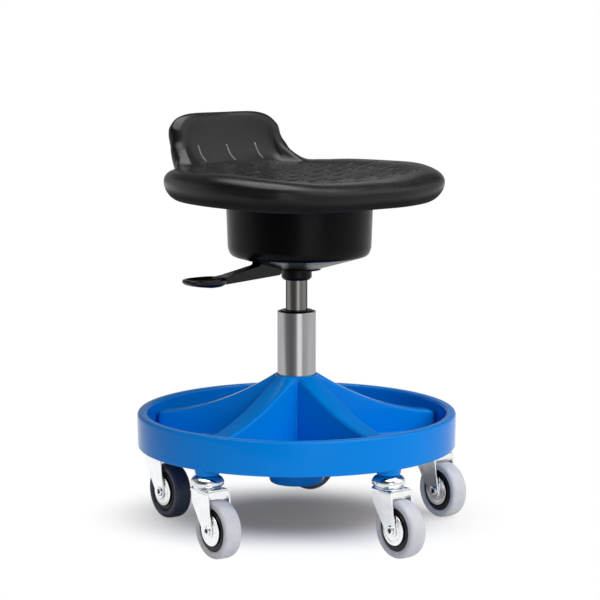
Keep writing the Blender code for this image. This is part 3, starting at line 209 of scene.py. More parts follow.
RACE = zinc_plate("polished zinc raceway", "#d5dce1", "#eef3f6", 0.08, 0.14)
BRASS = zinc_plate("turned brass", "#a98645", "#c09a55", 0.22, 0.30)
GREY_TYRE = tyre_rubber("grey thermoplastic rubber", "#bfc0c6", "#cbccd2")
DARK_TYRE = tyre_rubber("dark blue-grey rubber", "#2b3040", "#3a4052")
# Birch plywood, sanded: pale, with growth rings drawn across the sheet
BOARD = finish("birch plywood", "#c8a878", ("#b9935f", "#d2b487", 5.0, 6.0), stretch=ACROSS_SHEET,
               Roughness=0.6)[0]


# Mesh helpers

WELD = 1e-4  # points nearer than this become one
CORNER_SHARE = 0.45  # most of a side that one rounded corner takes up
SHARP = 35.0  # edges that turn by more degrees than this stay sharp


def placed(name, data):
    """A new object in the scene."""
    obj = bpy.data.objects.new(name, data)
    bpy.context.scene.collection.objects.link(obj)
    return obj


def shade(mesh, sharp):
    mesh.shade_smooth()
    mesh.set_sharp_from_angle(angle=math.radians(sharp))


def carry(obj, body, nodes=(), slot=None):
    """Puts an object on a CAD body, in place of these nodes."""
    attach(obj, body)
    if nodes:
        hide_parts(*nodes)
    return obj


def piece(name, bm, mat, body, nodes=(), slot=None, sharp=SHARP):
    """Turns a mesh drawn in millimetres into a piece that rides on a CAD body."""
    bmesh.ops.remove_doubles(bm, verts=bm.verts, dist=WELD)
    bmesh.ops.recalc_face_normals(bm, faces=bm.faces)
    bmesh.ops.scale(bm, vec=(MM, MM, MM), verts=bm.verts)
    mesh = bpy.data.meshes.new(name)
    bm.to_mesh(mesh)
    bm.free()
    shade(mesh, sharp)
    mesh.materials.append(mat)
    return carry(placed(name, mesh), body, nodes, slot)


def baked(obj):
    """Gives an object the mesh that its modifiers make, and removes them."""
    bpy.context.view_layer.update()
    graph = bpy.context.evaluated_depsgraph_get()
    mesh = bpy.data.meshes.new_from_object(obj.evaluated_get(graph))
    obj.modifiers.clear()
    obj.data = mesh


def skin(bm, rows, cap_first=False, cap_last=False):
    """Faces between rings of points, all of one length."""
    made = [[bm.verts.new(p) for p in row] for row in rows]
    count = len(made[0])
    for near, far in zip(made, made[1:]):
        for i in range(count):
            j = (i + 1) % count
            bm.faces.new((near[i], near[j], far[j], far[i]))
    if cap_first:
        bm.faces.new(list(reversed(made[0])))
    if cap_last:
        bm.faces.new(made[-1])


def solid(bm, rows):
    """The same, closed at both ends."""
    skin(bm, rows, cap_first=True, cap_last=True)


def softened(points, radius, closed=True, steps=4):
    """Rounds the corners of a profile. The ends of an open one stay as they are."""
    count = len(points)
    out = []
    for i, point in enumerate(points):
        here = Vector(point)
        if not closed and i in (0, count - 1):
            out.append(here)
            continue
        back = Vector(points[i - 1]) - here
        ahead = Vector(points[(i + 1) % count]) - here
        reach = min(radius, CORNER_SHARE * back.length, CORNER_SHARE * ahead.length)
        start = here + back.normalized() * reach
        end = here + ahead.normalized() * reach
        for k in range(steps + 1):
            t = k / steps
            out.append(start * (1 - t) ** 2 + here * 2 * t * (1 - t) + end * t * t)
    return out


def turned(bm, profile, sides, move=Matrix.Identity(4)):
    """Spins a profile of (radius, height) about Z and moves it into place."""
    turns = [2 * math.pi * i / sides for i in range(sides)]
    rows = [[move @ Vector((r * math.cos(a), r * math.sin(a), z)) for a in turns]
            for r, z in profile]
    if profile[0][0] > 0.0:
        rows.append(rows[0])
    skin(bm, rows)


def extruded(bm, outline, low, high, move=Matrix.Identity(4)):
    """A flat outline pushed from low to high along Z, then moved."""
    rows = [[move @ Vector((x, y, z)) for x, y in outline] for z in (low, high)]
    solid(bm, rows)


def arc(cx, cy, radius, start, end, steps):
    turns = [math.radians(start + (end - start) * i / steps) for i in range(steps + 1)]
    return [(cx + radius * math.cos(a), cy + radius * math.sin(a)) for a in turns]


def chamfered(outline, middle, low, high, chamfer):
    """Levels through a flat plate whose edges lean in towards its middle, each with its outline."""
    levels = ((low, chamfer), (low + chamfer, 0.0), (high - chamfer, 0.0), (high, chamfer))
    for level, inset in levels:
        pulls = [(middle - Vector(p)).normalized() * inset for p in outline]
        yield level, [(p[0] + pull.x, p[1] + pull.y) for p, pull in zip(outline, pulls)]


def clamp(value, low=0.0, high=1.0):
    return min(max(value, low), high)


def shift(x, y, z):
    return Matrix.Translation((x, y, z))


def spin(degrees, axis="Z"):
    return Matrix.Rotation(math.radians(degrees), 4, axis)


# Camera, at the photograph's angle: 40 degrees to the sitter's right of the front

CAMERA_TURN = math.radians(-40.0)
CAMERA_PITCH = math.radians(7.96)
CAMERA_RIGHT, CAMERA_AWAY, CAMERA_HEIGHT = 0.0044, 2.674, 0.6705
UP = Vector((0.0, 0.0, 1.0))

to_right = Vector((math.cos(CAMERA_TURN), math.sin(CAMERA_TURN), 0.0))
to_back = Vector((-math.sin(CAMERA_TURN), math.cos(CAMERA_TURN), 0.0))
camera_data = bpy.data.cameras.new("photo camera")
camera_data.sensor_width = 36.0
camera_data.lens = 125.04
camera = placed("photo camera", camera_data)
camera.location = to_right * CAMERA_RIGHT - to_back * CAMERA_AWAY + UP * CAMERA_HEIGHT
look = to_back * math.cos(CAMERA_PITCH) - UP * math.sin(CAMERA_PITCH)
camera.rotation_euler = look.to_track_quat("-Z", "Y").to_euler()
bpy.context.scene.camera = camera


# Foam seat. Half outline from the front to the back of the rim: crest x, y and height
# over the pan, lower edge x, y and height over the underside, pan edge x, y and height,
# how far the crest rolls outward, and how far up the bank the pockets reach. Along the
# back, the roll is how round its edge is.
SEAT_RIM = (
    (0, -134, 9, 0, -145, 2, 0, -98, 2, 40, 0.75),
    (64, -130, 10, 65, -141, 2, 52, -94, 3, 40, 0.8),
    (121, -113, 16, 124, -115, 3, 86, -74, 5, 42, 0.92),
    (154, -55, 22, 157, -55, 6, 104, -36, 9, 40, 0.95),
    (157, 8, 22, 159, 8, 7, 106, 6, 10, 40, 0.9),
    (140, 58, 22, 142, 58, 7, 96, 40, 11, 40, 0.7),
    (116, 86, 21, 114, 84, 8, 90, 66, 12, 34, 0.35),
    (103, 112, 23, 96, 99, 9, 84, 92, 12, 14, 0.0),
    (80, 132, 47, 84, 107, 9, 74, 108, 13, 13, 0.0),
    (76, 139, 64, 73, 113, 9, 64, 113, 13, 13, 0.0),
    (58, 146, 77, 42, 119, 9, 44, 112, 13, 8, 0.0),
    (0, 151, 79, 0, 121, 9, 0, 110, 13, 7, 0.0),
)
SEAT_DISH = 3.0
PAN_LOW = Vector((0.0, -12.0, PAN_Z - SEAT_DISH + 4.0))
PAN_FILL = 5.0
FRONT_FOOT, SIDE_FOOT = 13.0, 20.0
FRONT_RISE = 3.0
FRONT_START, FRONT_REACH = -100.0, 30.0
BANK_LEAD = 0.38
INNER_ROLL, FACE_ROLL = 24.0, 12.0
BACK_START, BACK_RISE = 22.0, 24.0
FACE_HALF, FACE_Y, FACE_HEIGHT = 45.0, 137.0, 50.0
EDGE_SHARE = 0.4
SEAT_FLAT_R = 108.0
FLAT_EASE, FLAT_LIFT = 3.0, 0.6
RECESS_R = 87.3
RECESS_TOP = PAD_UNDER + 9.3
SEAT_SIDES = 264
PAN_ROWS, TOP_ROWS, BANK_ROWS, ROLL_ROWS = 10, 16, 12, 20
SEAT_SHARP = 50.0
HIGH_UP = 2000.0

# Pockets of the non-slip pattern, in staggered rows across the pan
POCKET_LENGTH, POCKET_WIDTH, POCKET_DEPTH = 27.0, 6.4, 3.0
POCKET_STEPS = ((-0.5, 0.0), (0.2, 0.18), (0.7, 0.75), (1.3, 1.0))  # inset, share of the depth
POCKET_PITCH, POCKETS_BESIDE = 43.0, 4
FIRST_ROW, ROW_PITCH, ROWS = -136.0, 20.0, 11
POCKET_MARGIN, POCKET_CLEAR = 3.0, 2.5
POCKET_CLIMB = 0.3
END_STEPS = 7
FILL_PITCH, FILL_ROW = 4.5, 0.87
INSIDE_ONLY, JOIN = 1, 1e-5


def curve_through(values, place):
    """Smooth closed curve through a list of values."""
    count = len(values)
    i = int(math.floor(place)) % count
    t = place - math.floor(place)
    a, b, c, d = (values[(i + k) % count] for k in (-1, 0, 1, 2))
    rise, fall = 0.5 * (c - a), 0.5 * (d - b)
    return ((2 * t ** 3 - 3 * t * t + 1) * b + (t ** 3 - 2 * t * t + t) * rise
            + (-2 * t ** 3 + 3 * t * t) * c + (t ** 3 - t * t) * fall)


def bezier(a, b, c, d, t):
    u = 1.0 - t
    return a * u ** 3 + b * 3 * u * u * t + c * 3 * u * t * t + d * t ** 3


def seat_stations():
    """Crest, lower edge, pan edge, roll and pocket border all round the seat."""
    rows = list(SEAT_RIM)
    for r in SEAT_RIM[-2:0:-1]:
        rows.append((-r[0], *r[1:3], -r[3], *r[4:6], -r[6], *r[7:]))
    columns = (
        [Vector((r[0], r[1], PAN_Z + r[2])) for r in rows],
        [Vector((r[3], r[4], PAD_UNDER + r[5])) for r in rows],
        [Vector((r[6], r[7], PAN_Z + r[8] + PAN_FILL)) for r in rows],
        [r[9] for r in rows],
        [r[10] for r in rows],
    )
    stations = []
    for i in range(SEAT_SIDES):
        place = len(rows) * i / SEAT_SIDES
        crest, lower, pan, roll, border = (curve_through(c, place) for c in columns)
        stations.append((crest, lower, pan, roll, max(0.0, border)))
    return stations


def in_back(crest):
    """How far up the back a place on the rim is, eased from 0 to 1."""
    t = clamp((crest.z - PAN_Z - BACK_START) / BACK_RISE)
    return t * t * (3.0 - 2.0 * t)


def outward(crest, pan):
    """Level direction from the pan to the crest."""
    return Vector((crest.x - pan.x, crest.y - pan.y, 0.0)).normalized()


def across_edge(crest):
    """Direction in which the face of the back runs out over its edge."""
    middle = Vector((clamp(crest.x, -FACE_HALF, FACE_HALF), FACE_Y, PAN_Z + FACE_HEIGHT))
    return (crest - middle).normalized()


def bank(station, t):
    """Slope from the pan's edge up to the crest, or up the face of the back."""
    crest, _, pan, _, _ = station
    near = pan + (pan - PAN_LOW).normalized() * BANK_LEAD * (crest - pan).length
    rim = bezier(pan, near, crest - outward(crest, pan) * INNER_ROLL, crest, t)
    face = bezier(pan, near, crest - across_edge(crest) * FACE_ROLL, crest, t)
    return rim.lerp(face, in_back(crest))


def edge_roll(station, t):
    """Rolled edge from the crest round to the lower edge. The back has a rounded edge and
    then its rear face."""
    crest, lower, pan, roll, _ = station
    out = outward(crest, pan)
    front = clamp((FRONT_START - crest.y) / FRONT_REACH)
    foot = lower + out * (SIDE_FOOT + (FRONT_FOOT - SIDE_FOOT) * front)
    foot.z += FRONT_RISE * front
    rim = bezier(crest, crest + out * roll, foot, lower, t)
    turn = 0.5 * math.pi * min(t / EDGE_SHARE, 1.0)
    rear = Vector((0.0, roll, 0.0))
    edge = crest + across_edge(crest) * roll * math.sin(turn) + rear * (1.0 - math.cos(turn))
    if t > EDGE_SHARE:
        edge = bezier(edge, edge + rear, foot, lower, (t - EDGE_SHARE) / (1.0 - EDGE_SHARE))
    return rim.lerp(edge, in_back(crest))


def pan_point(station, share):
    """Point of the dished pan, a share of the way from its lowest point to its edge."""
    sag = Vector((0.0, 0.0, -SEAT_DISH * share * (1.0 - share)))
    return PAN_LOW.lerp(station[2], share) + sag


def smooth_top(stations):
    """Search tree of the top without its pockets, to set points on."""
    bm = bmesh.new()
    rows = [[pan_point(s, k / PAN_ROWS) for s in stations] for k in range(1, PAN_ROWS)]
    rows += [[bank(s, k / TOP_ROWS) for s in stations] for k in range(TOP_ROWS + 1)]
    skin(bm, rows, cap_first=True)
    tree = BVHTree.FromBMesh(bm)
    bm.free()
    return tree


def height_on(tree, x, y):
    hit = tree.ray_cast(Vector((x, y, HIGH_UP)), -UP)[0]
    return hit.z if hit else None


def inside_loop(x, y, loop):
    odd = False
    for (ax, ay), (bx, by) in zip(loop[-1:] + loop, loop):
        if (ay > y) != (by > y) and x < (bx - ax) * (y - ay) / (by - ay) + ax:
            odd = not odd
    return odd


def pocket_outline(x, y, inset):
    """Slot with round ends, drawn as one loop."""
    radius = 0.5 * POCKET_WIDTH - inset
    reach = 0.5 * (POCKET_LENGTH - POCKET_WIDTH)
    return (arc(x + reach, y, radius, -90.0, 90.0, END_STEPS)
            + arc(x - reach, y, radius, 90.0, 270.0, END_STEPS))


def pocket_places(border, tree):
    """Middles of the pockets that lie inside the border, where the top is nearly level."""
    places = []
    for row in range(ROWS):
        y = FIRST_ROW + ROW_PITCH * row
        start = 0.5 * POCKET_PITCH if row % 2 == 0 else 0.0
        for k in range(-POCKETS_BESIDE, POCKETS_BESIDE + 1):
            x = start + POCKET_PITCH * k
            ring = pocket_outline(x, y, -POCKET_MARGIN)
            if not all(inside_loop(px, py, border) for px, py in ring):
                continue
            ends = [height_on(tree, x + e * 0.5 * POCKET_LENGTH, y) for e in (-1.0, 1.0)]
            if abs(ends[1] - ends[0]) < POCKET_CLIMB * POCKET_LENGTH:
                places.append((x, y))
    return places


def filling_points(border, places):
    """Staggered points between the pockets, which carry the pan's own curve."""
    low_x, high_x = min(p[0] for p in border), max(p[0] for p in border)
    y, high_y = min(p[1] for p in border), max(p[1] for p in border)
    row = 0
    while y < high_y:
        x = low_x + (0.5 * FILL_PITCH if row % 2 else 0.0)
        while x < high_x:
            clear = all(abs(y - py) > 0.5 * POCKET_WIDTH + POCKET_CLEAR
                        or abs(x - px) > 0.5 * POCKET_LENGTH + POCKET_CLEAR for px, py in places)
            gap = min(math.hypot(x - px, y - py) for px, py in border)
            if clear and gap > 0.5 * FILL_PITCH and inside_loop(x, y, border):
                yield x, y
            x += FILL_PITCH
        y += FILL_ROW * FILL_PITCH
        row += 1


def patterned_pan(bm, stations, tree):
    """Pan inside the pocket border, cut along every pocket so that each has crisp edges."""
    border = [bank(s, s[4]) for s in stations]
    flat = [(p.x, p.y) for p in border]
    points = [Vector(p) for p in flat]
    heights = [p.z for p in border]
    edges = [(i, (i + 1) % len(flat)) for i in range(len(flat))]
    places = pocket_places(flat, tree)
    for x, y in places:
        for inset, share in POCKET_STEPS:
            loop = pocket_outline(x, y, inset)
            first = len(points)
            for px, py in loop:
                points.append(Vector((px, py)))
                heights.append(height_on(tree, px, py) - share * POCKET_DEPTH)
            edges += [(first + i, first + (i + 1) % len(loop)) for i in range(len(loop))]
    for x, y in filling_points(flat, places):
        points.append(Vector((x, y)))
        heights.append(height_on(tree, x, y))
    found, _, faces, origins, _, _ = delaunay_2d_cdt(points, edges, [], INSIDE_ONLY, JOIN)
    verts = []
    for p, source in zip(found, origins):
        z = heights[source[0]] if source else height_on(tree, p.x, p.y)
        verts.append(bm.verts.new((p.x, p.y, z)))
    for face in faces:
        bm.faces.new([verts[i] for i in face])


def seat():
    """Pan, bank, rolled edge and underside with the recess for the board, in one mesh."""
    stations = seat_stations()
    tree = smooth_top(stations)
    bm = bmesh.new()
    patterned_pan(bm, stations, tree)
    rows = [[bank(s, s[4] + (1.0 - s[4]) * k / BANK_ROWS) for s in stations]
            for k in range(BANK_ROWS + 1)]
    rows += [[edge_roll(s, k / ROLL_ROWS) for s in stations] for k in range(1, ROLL_ROWS + 1)]
    turns = [math.atan2(s[1].y, s[1].x) for s in stations]
    rims = ((SEAT_FLAT_R + FLAT_EASE, PAD_UNDER + FLAT_LIFT), (SEAT_FLAT_R - FLAT_EASE, PAD_UNDER),
            (RECESS_R, PAD_UNDER), (RECESS_R, RECESS_TOP))
    rows += [[Vector((r * math.cos(a), r * math.sin(a), z)) for a in turns] for r, z in rims]
    skin(bm, rows, cap_last=True)
    pad = piece("foam_seat", bm, FOAM, "seat", ["seat_pad"], "black_foam", SEAT_SHARP)
    return tree


seat_top = seat()


# Pieces that a geometry tree grows from a mesh

def open_tree(name, **inputs):
    """A new tree with its sockets, and the node that hands in their values."""
    tree = bpy.data.node_groups.new(name, "GeometryNodeTree")
    for label, kind in inputs.items():
        tree.interface.new_socket(label.replace("_", " "), in_out="INPUT",
                                  socket_type="NodeSocket" + kind)
    tree.interface.new_socket("Geometry", in_out="OUTPUT", socket_type="NodeSocketGeometry")
    return tree, add(tree, "NodeGroupInput").outputs


def close_tree(tree, shape, material):
    """Smooths the shape, gives it the material and hands it out."""
    smooth = add(tree, "GeometryNodeSetShadeSmooth", {"Geometry": shape})
    done = add(tree, "GeometryNodeSetMaterial",
               {"Geometry": smooth, "Material": material})
    add(tree, "NodeGroupOutput", {"Geometry": done})
    return tree


def grown(name, mesh, tree, values, body, slot):
    """Runs a tree on a mesh with these values, and keeps what it makes."""
    obj = placed(name, mesh)
    modifier = obj.modifiers.new(tree.name, "NODES")
    modifier.node_group = tree
    for socket in tree.interface.items_tree:
        if socket.name in values:
            modifier[socket.identifier] = values[socket.name]
    baked(obj)
    carry(obj, body, (), slot)


# Raised beads that run down the back into the pan

BEAD_PLACES = (-55.0, -7.0, 41.0)
BEAD_TOP_Z, BEAD_LOW_Z = PAN_Z + 44.0, PAN_Z + 23.0
BEAD_HOOK, HOOK_BEND = 4.0, 4
BEAD_R = 1.4
BEAD_STEPS, BEAD_POINTS, BEAD_SIDES = 16, 26, 12
BEAD_TAPER = ((0.0, 0.25), (1.0, 0.15), (0.12, 1.0), (0.8, 1.0))  # place, share of the radius


def bead_tree():
    """Sweeps a round bead along each path, and closes it."""
    tree, given = open_tree("back beads", Geometry="Geometry", Bead_radius="Float",
                            Material="Material")
    path = add(tree, "GeometryNodeMeshToCurve", {"Mesh": given["Geometry"]})
    fine = add(tree, "GeometryNodeResampleCurve", {"Curve": path, "Count": BEAD_POINTS})
    ring = add(tree, "GeometryNodeCurvePrimitiveCircle",
               {"Resolution": BEAD_SIDES, "Radius": given["Bead radius"]})
    ends = add(tree, "ShaderNodeFloatCurve", {"Value": add(tree, "GeometryNodeSplineParameter")})
    taper = ends.mapping.curves[0].points
    taper[0].location, taper[1].location = BEAD_TAPER[:2]
    for place, share in BEAD_TAPER[2:]:
        taper.new(place, share)
    ends.mapping.update()
    swept = add(tree, "GeometryNodeCurveToMesh",
                {"Curve": fine, "Profile Curve": ring, "Scale": ends, "Fill Caps": True})
    whole = add(tree, "GeometryNodeRealizeInstances", {"Geometry": swept})
    return close_tree(tree, whole, given["Material"])


def back_beads():
    mesh = bpy.data.meshes.new("back_beads")
    verts, edges = [], []
    for x in BEAD_PLACES:
        first = len(verts)
        for k in range(BEAD_STEPS + 1):
            share = k / BEAD_STEPS
            z = BEAD_TOP_Z + (BEAD_LOW_Z - BEAD_TOP_Z) * k / BEAD_STEPS
            start = Vector((x + BEAD_HOOK * share ** HOOK_BEND, 0.0, z))
            verts.append(seat_top.ray_cast(start, Vector((0.0, 1.0, 0.0)))[0] * MM)
        edges += [(i, i + 1) for i in range(first, len(verts) - 1)]
    mesh.from_pydata(verts, edges, [])
    # The beads get the pale skin that paints their highlight
    values = {"Bead radius": BEAD_R * MM, "Material": PAINTED_BEAD_HIGHLIGHT}
    grown("back_beads", mesh, bead_tree(), values, "seat", "black_foam")


back_beads()


# Tray base, moulded in one: rim, floor, five hanging ribs, hub, bosses and webs

TRAY_R = 207.5
RIM_W = 13.0
WALL = 3.6
RIM_DRAFT = 0.6
RIM_ROUND, RIM_STEPS, RIM_STRAIGHT, FOOT_ROUND = 3.8, 8, 1.0, 1.2
HOLLOW_DRAFT, HOLLOW_ROUND, UNDER_REACH = 0.4, 2.0, 10.0
HUB_R, BORE_R = 28.5, 25.3
MOUTH = 0.8
HUB_LIP = [(BORE_R, HUB_TOP - MOUTH), (BORE_R + MOUTH, HUB_TOP), (HUB_R - 1.6, HUB_TOP),
           (HUB_R - 0.6, HUB_TOP - 0.4)]
HUB_SKIRT = [(42.3, FLOOR_UNDER), (41.8, FLOOR_UNDER - 1.0)]
HUB_FOOT = [(41.0, FLOOR_UNDER - 6.0), (35.5, HUB_BOTTOM), (24.4, HUB_BOTTOM)]
HUB_BORE = [(24.4, TUBE_FOOT), (BORE_R, TUBE_FOOT + TUBE_TAPER)]
RIB_END = 190.5
RIB_IN_HALF, RIB_OUT_HALF = 15.5, 12.5
RIB_SAG = 0.78
RIB_FALL = 11.0
RIB_LOWER = 0.6
RIB_SLOPE = math.tan(math.radians(7.0))
RIB_EDGE, EDGE_OF_HALF, EDGE_OF_HEIGHT = 3.4, 0.7, 0.8
LEAST_HEIGHT, LEAST_LEAN = 0.1, 0.05
HUB_ROUND, HUB_ROUND_REACH = 5.5, 26.0
RIB_CORNER, CORNER_NARROW = 7.0, 0.8
SLOT_FOOT, SLOT_FLARE, SLOT_FILLET = 2.6, 2.5, 0.3
FLOOR_FILLET = 4.0
VALLEY_HALF, VALLEY_SPARE, VALLEY_DROP = 0.5, 0.5, 0.4
SECTOR = 2.0 * math.pi / CASTORS
BARELY = 0.2
TRAY_SHARP = 40.0

# Rows of points along a rib, and how its half section is divided: over the top, round its
# edge, down the side, round the foot and over the floor
ROOT_STEP, ROOT_COUNT = 0.35, 8
NEAR_START, NEAR_STEP, NEAR_COUNT = 3.0, 1.2, 16
FAR_STEP, FAR_GAP = 4.5, 5.0
TOP_SHARES = (0.0, 0.4, 0.8, 1.0)
EDGE_TURNS = (14.0, 28.0, 42.0, 56.0, 70.0, 83.0)
SIDE_STEPS, FLOOR_STEPS = 7, 8
FOOT_SHARES = (0.25, 0.5, 0.75, 1.0)
SLOT_SHARES = (0.3, 0.6, 0.85, 1.0)

# Hollow of the ribs on the underside, castor bosses, and webs along both sides of a rib
HOLLOW_END, HOLLOW_START, HOLLOW_STEP = CASTOR_R - 16.0, 44.0, 6.5
HOLLOW_EDGE, HOLLOW_FILLET = 1.2, 1.0
TIP_HALF, TIP_EDGE, TIP_FILLET = 3.0, 0.5, 0.4
ROOTED = 2.0
BOSS = [(0.0, FLOOR_UNDER + ROOTED), (18.0, FLOOR_UNDER + ROOTED), (16.2, RIM_FOOT),
        (14.6, BOSS_FACE), (0.0, BOSS_FACE)]
BOSS_ROUND, BOSS_SIDES = 1.6, 40
WEB_DEPTHS = ((34.0, 22.0), (100.0, 14.0), (CASTOR_R - 8.0, 6.0))  # radius, depth
WEB_ROOT, WEB_FOOT = 1.6, 1.2
WEB_IN, WEB_MOST = 1.8, 0.55


def rib_share(r):
    return clamp((r - HUB_R) / (RIB_END - HUB_R))


def rib_top(r):
    share = rib_share(r)
    low = RIM_CREST - RIB_FALL
    return HUB_TOP - (HUB_TOP - low) * (share + RIB_SAG * share * (1.0 - share))


def rib_half(r):
    return RIB_IN_HALF + (RIB_OUT_HALF - RIB_IN_HALF) * rib_share(r)


def rib_edge(r):
    """Rounding of a rib's upper edges, wider where the ribs run together at the hub."""
    near = max(0.0, 1.0 - (r - HUB_R) / HUB_ROUND_REACH)
    return RIB_EDGE + HUB_ROUND * near * near


def floor_height(r):
    """Floor of the tray, which turns up into the rim's inner wall."""
    reach = r - (TRAY_R - RIM_W - RIM_DRAFT - FLOOR_FILLET)
    if reach <= 0.0:
        return FLOOR_TOP
    return FLOOR_TOP + FLOOR_FILLET - math.sqrt(max(FLOOR_FILLET ** 2 - reach ** 2, 0.0))


def rib_section(r, top, half, base, edge, fillet=FLOOR_FILLET):
    """Half cross-section over one radius: (angle, height) from the rib's middle to midway."""
    widest = r * math.sin(0.5 * SECTOR)
    half = min(half, widest - BARELY)
    edge = min(edge, EDGE_OF_HALF * half, EDGE_OF_HEIGHT * max(top - base, LEAST_HEIGHT))
    points = [(share * (half - edge), top) for share in TOP_SHARES]
    for degrees in EDGE_TURNS:
        a = math.radians(degrees)
        points.append((half - edge + edge * math.sin(a), top - edge + edge * math.cos(a)))
    start_d, start_z = points[-1]
    foot = half + RIB_SLOPE * max(start_z - base - fillet, 0.0)
    foot = max(min(foot, widest - VALLEY_HALF), start_d + LEAST_LEAN)
    foot_z = max(start_z - (foot - start_d) / RIB_SLOPE, base)
    for k in range(1, SIDE_STEPS + 1):
        t = k / SIDE_STEPS
        points.append((start_d + (foot - start_d) * t, start_z + (foot_z - start_z) * t))
    floor_z = base if foot_z - base <= fillet + VALLEY_SPARE else foot_z - VALLEY_DROP
    turn = min(fillet, 0.5 * (widest - foot))
    for t in FOOT_SHARES:
        points.append((foot + turn * t * t, foot_z + (floor_z - foot_z) * (2.0 * t - t * t)))
    for k in range(1, FLOOR_STEPS + 1):
        points.append((foot + turn + (widest - foot - turn) * k / FLOOR_STEPS, floor_z))
    return [(math.asin(min(d / r, 1.0)), z) for d, z in points]


def full_ring(r, half_section):
    """Mirrors a half section and repeats it round the tray."""
    sector = [(-a, z) for a, z in reversed(half_section[1:-1])] + half_section
    middles = [math.radians(BASE_TURN) + SECTOR * k for k in range(CASTORS)]
    places = [(middle + angle, z) for middle in middles for angle, z in sector]
    return [Vector((r * math.sin(turn), -r * math.cos(turn), z)) for turn, z in places]


def level_rings(profile, like):
    """Plain turned rows whose points stand at the same angles as a given section."""
    return [full_ring(r, [(a, z) for a, _ in like]) for r, z in profile]


def top_rows():
    """Rows from the bore over the hub and the ribs to the foot of the rim, and the last
    section."""
    hub = rib_section(HUB_R, rib_top(HUB_R), RIB_IN_HALF, FLOOR_TOP, rib_edge(HUB_R))
    rows = level_rings(HUB_LIP, hub)
    radii = [HUB_R + ROOT_STEP * k for k in range(ROOT_COUNT)]
    radii += [HUB_R + NEAR_START + NEAR_STEP * k for k in range(NEAR_COUNT)]
    while radii[-1] < RIB_END - RIB_CORNER - FAR_GAP:
        radii.append(radii[-1] + FAR_STEP)
    for r in radii:
        rib = rib_section(r, rib_top(r) - RIB_LOWER, rib_half(r), FLOOR_TOP, rib_edge(r))
        rows.append(full_ring(r, rib))
    end_half = rib_half(RIB_END)
    for degrees in range(0, 91, 15):
        a = math.radians(degrees)
        r = RIB_END - RIB_CORNER + RIB_CORNER * math.sin(a)
        narrow = CORNER_NARROW * RIB_CORNER * (1.0 - math.cos(a))
        drop = RIB_EDGE * (1.0 - math.cos(a))
        end = rib_section(r, rib_top(r) - RIB_LOWER - drop, end_half - narrow, floor_height(r),
                          RIB_EDGE)
        rows.append(full_ring(r, end))
    high = rib_top(RIB_END) - RIB_LOWER - RIB_EDGE
    narrow = end_half - CORNER_NARROW * RIB_CORNER
    for share in SLOT_SHARES:
        r = RIB_END + SLOT_FOOT * share
        low = floor_height(r)
        top = low + (high - low) * (1.0 - share) + LEAST_HEIGHT
        last = rib_section(r, top, narrow + SLOT_FLARE * share, low, RIB_EDGE,
                           FLOOR_FILLET * (1.0 - share) + SLOT_FILLET)
        rows.append(full_ring(r, last))
    return rows, last


def rim_profile():
    """Up the rim's inner wall, over its top, down outside and back through its hollow."""
    inner = TRAY_R - RIM_W
    mid, crown, roll = TRAY_R - 0.5 * RIM_W, RIM_CREST - 0.5 * RIM_W, 0.5 * RIM_W
    wall = inner - RIM_DRAFT
    lip = RIM_CREST - RIM_ROUND
    profile = [(wall - BARELY, floor_height(wall - BARELY)),
               (wall, FLOOR_TOP + FLOOR_FILLET + RIM_STRAIGHT),
               (inner - 0.5 * RIM_DRAFT, 0.5 * (FLOOR_TOP + crown))]
    profile += arc(inner + RIM_ROUND, lip, RIM_ROUND, 180.0, 90.0, RIM_STEPS)
    profile += arc(TRAY_R - RIM_ROUND, lip, RIM_ROUND, 90.0, 0.0, RIM_STEPS)
    profile += softened([(TRAY_R, crown - RIM_STRAIGHT), (TRAY_R - RIM_DRAFT, RIM_FOOT),
                         (TRAY_R - WALL, RIM_FOOT), (TRAY_R - WALL, crown)], FOOT_ROUND, False)
    profile += arc(mid, crown, roll - WALL, 0.0, 180.0, RIM_STEPS)
    profile += softened([(inner + WALL, crown - RIM_STRAIGHT),
                         (inner + WALL - HOLLOW_DRAFT, FLOOR_UNDER),
                         (inner - UNDER_REACH, FLOOR_UNDER)], HOLLOW_ROUND, False)
    return profile


def under_rows():
    """Rows along the underside: hollow ribs, the skirt and foot of the hub, and its bore."""
    r = HOLLOW_END + 1.0
    tip = rib_section(r, FLOOR_UNDER + BARELY, TIP_HALF, FLOOR_UNDER, TIP_EDGE, TIP_FILLET)
    rows = [full_ring(r, tip)]
    r = HOLLOW_END
    while r > HOLLOW_START:
        root = rib_section(r, rib_top(r) - WALL, rib_half(r) - WALL, FLOOR_UNDER, HOLLOW_EDGE,
                           HOLLOW_FILLET)
        rows.append(full_ring(r, root))
        r -= HOLLOW_STEP
    return rows + level_rings(HUB_SKIRT + softened(HUB_FOOT, 9.0, False) + HUB_BORE, root)


def castor_turn(k):
    return math.radians(BASE_TURN + 360.0 / CASTORS * k)


def castor_place(k):
    a = castor_turn(k)
    return CASTOR_R * math.sin(a), -CASTOR_R * math.cos(a)


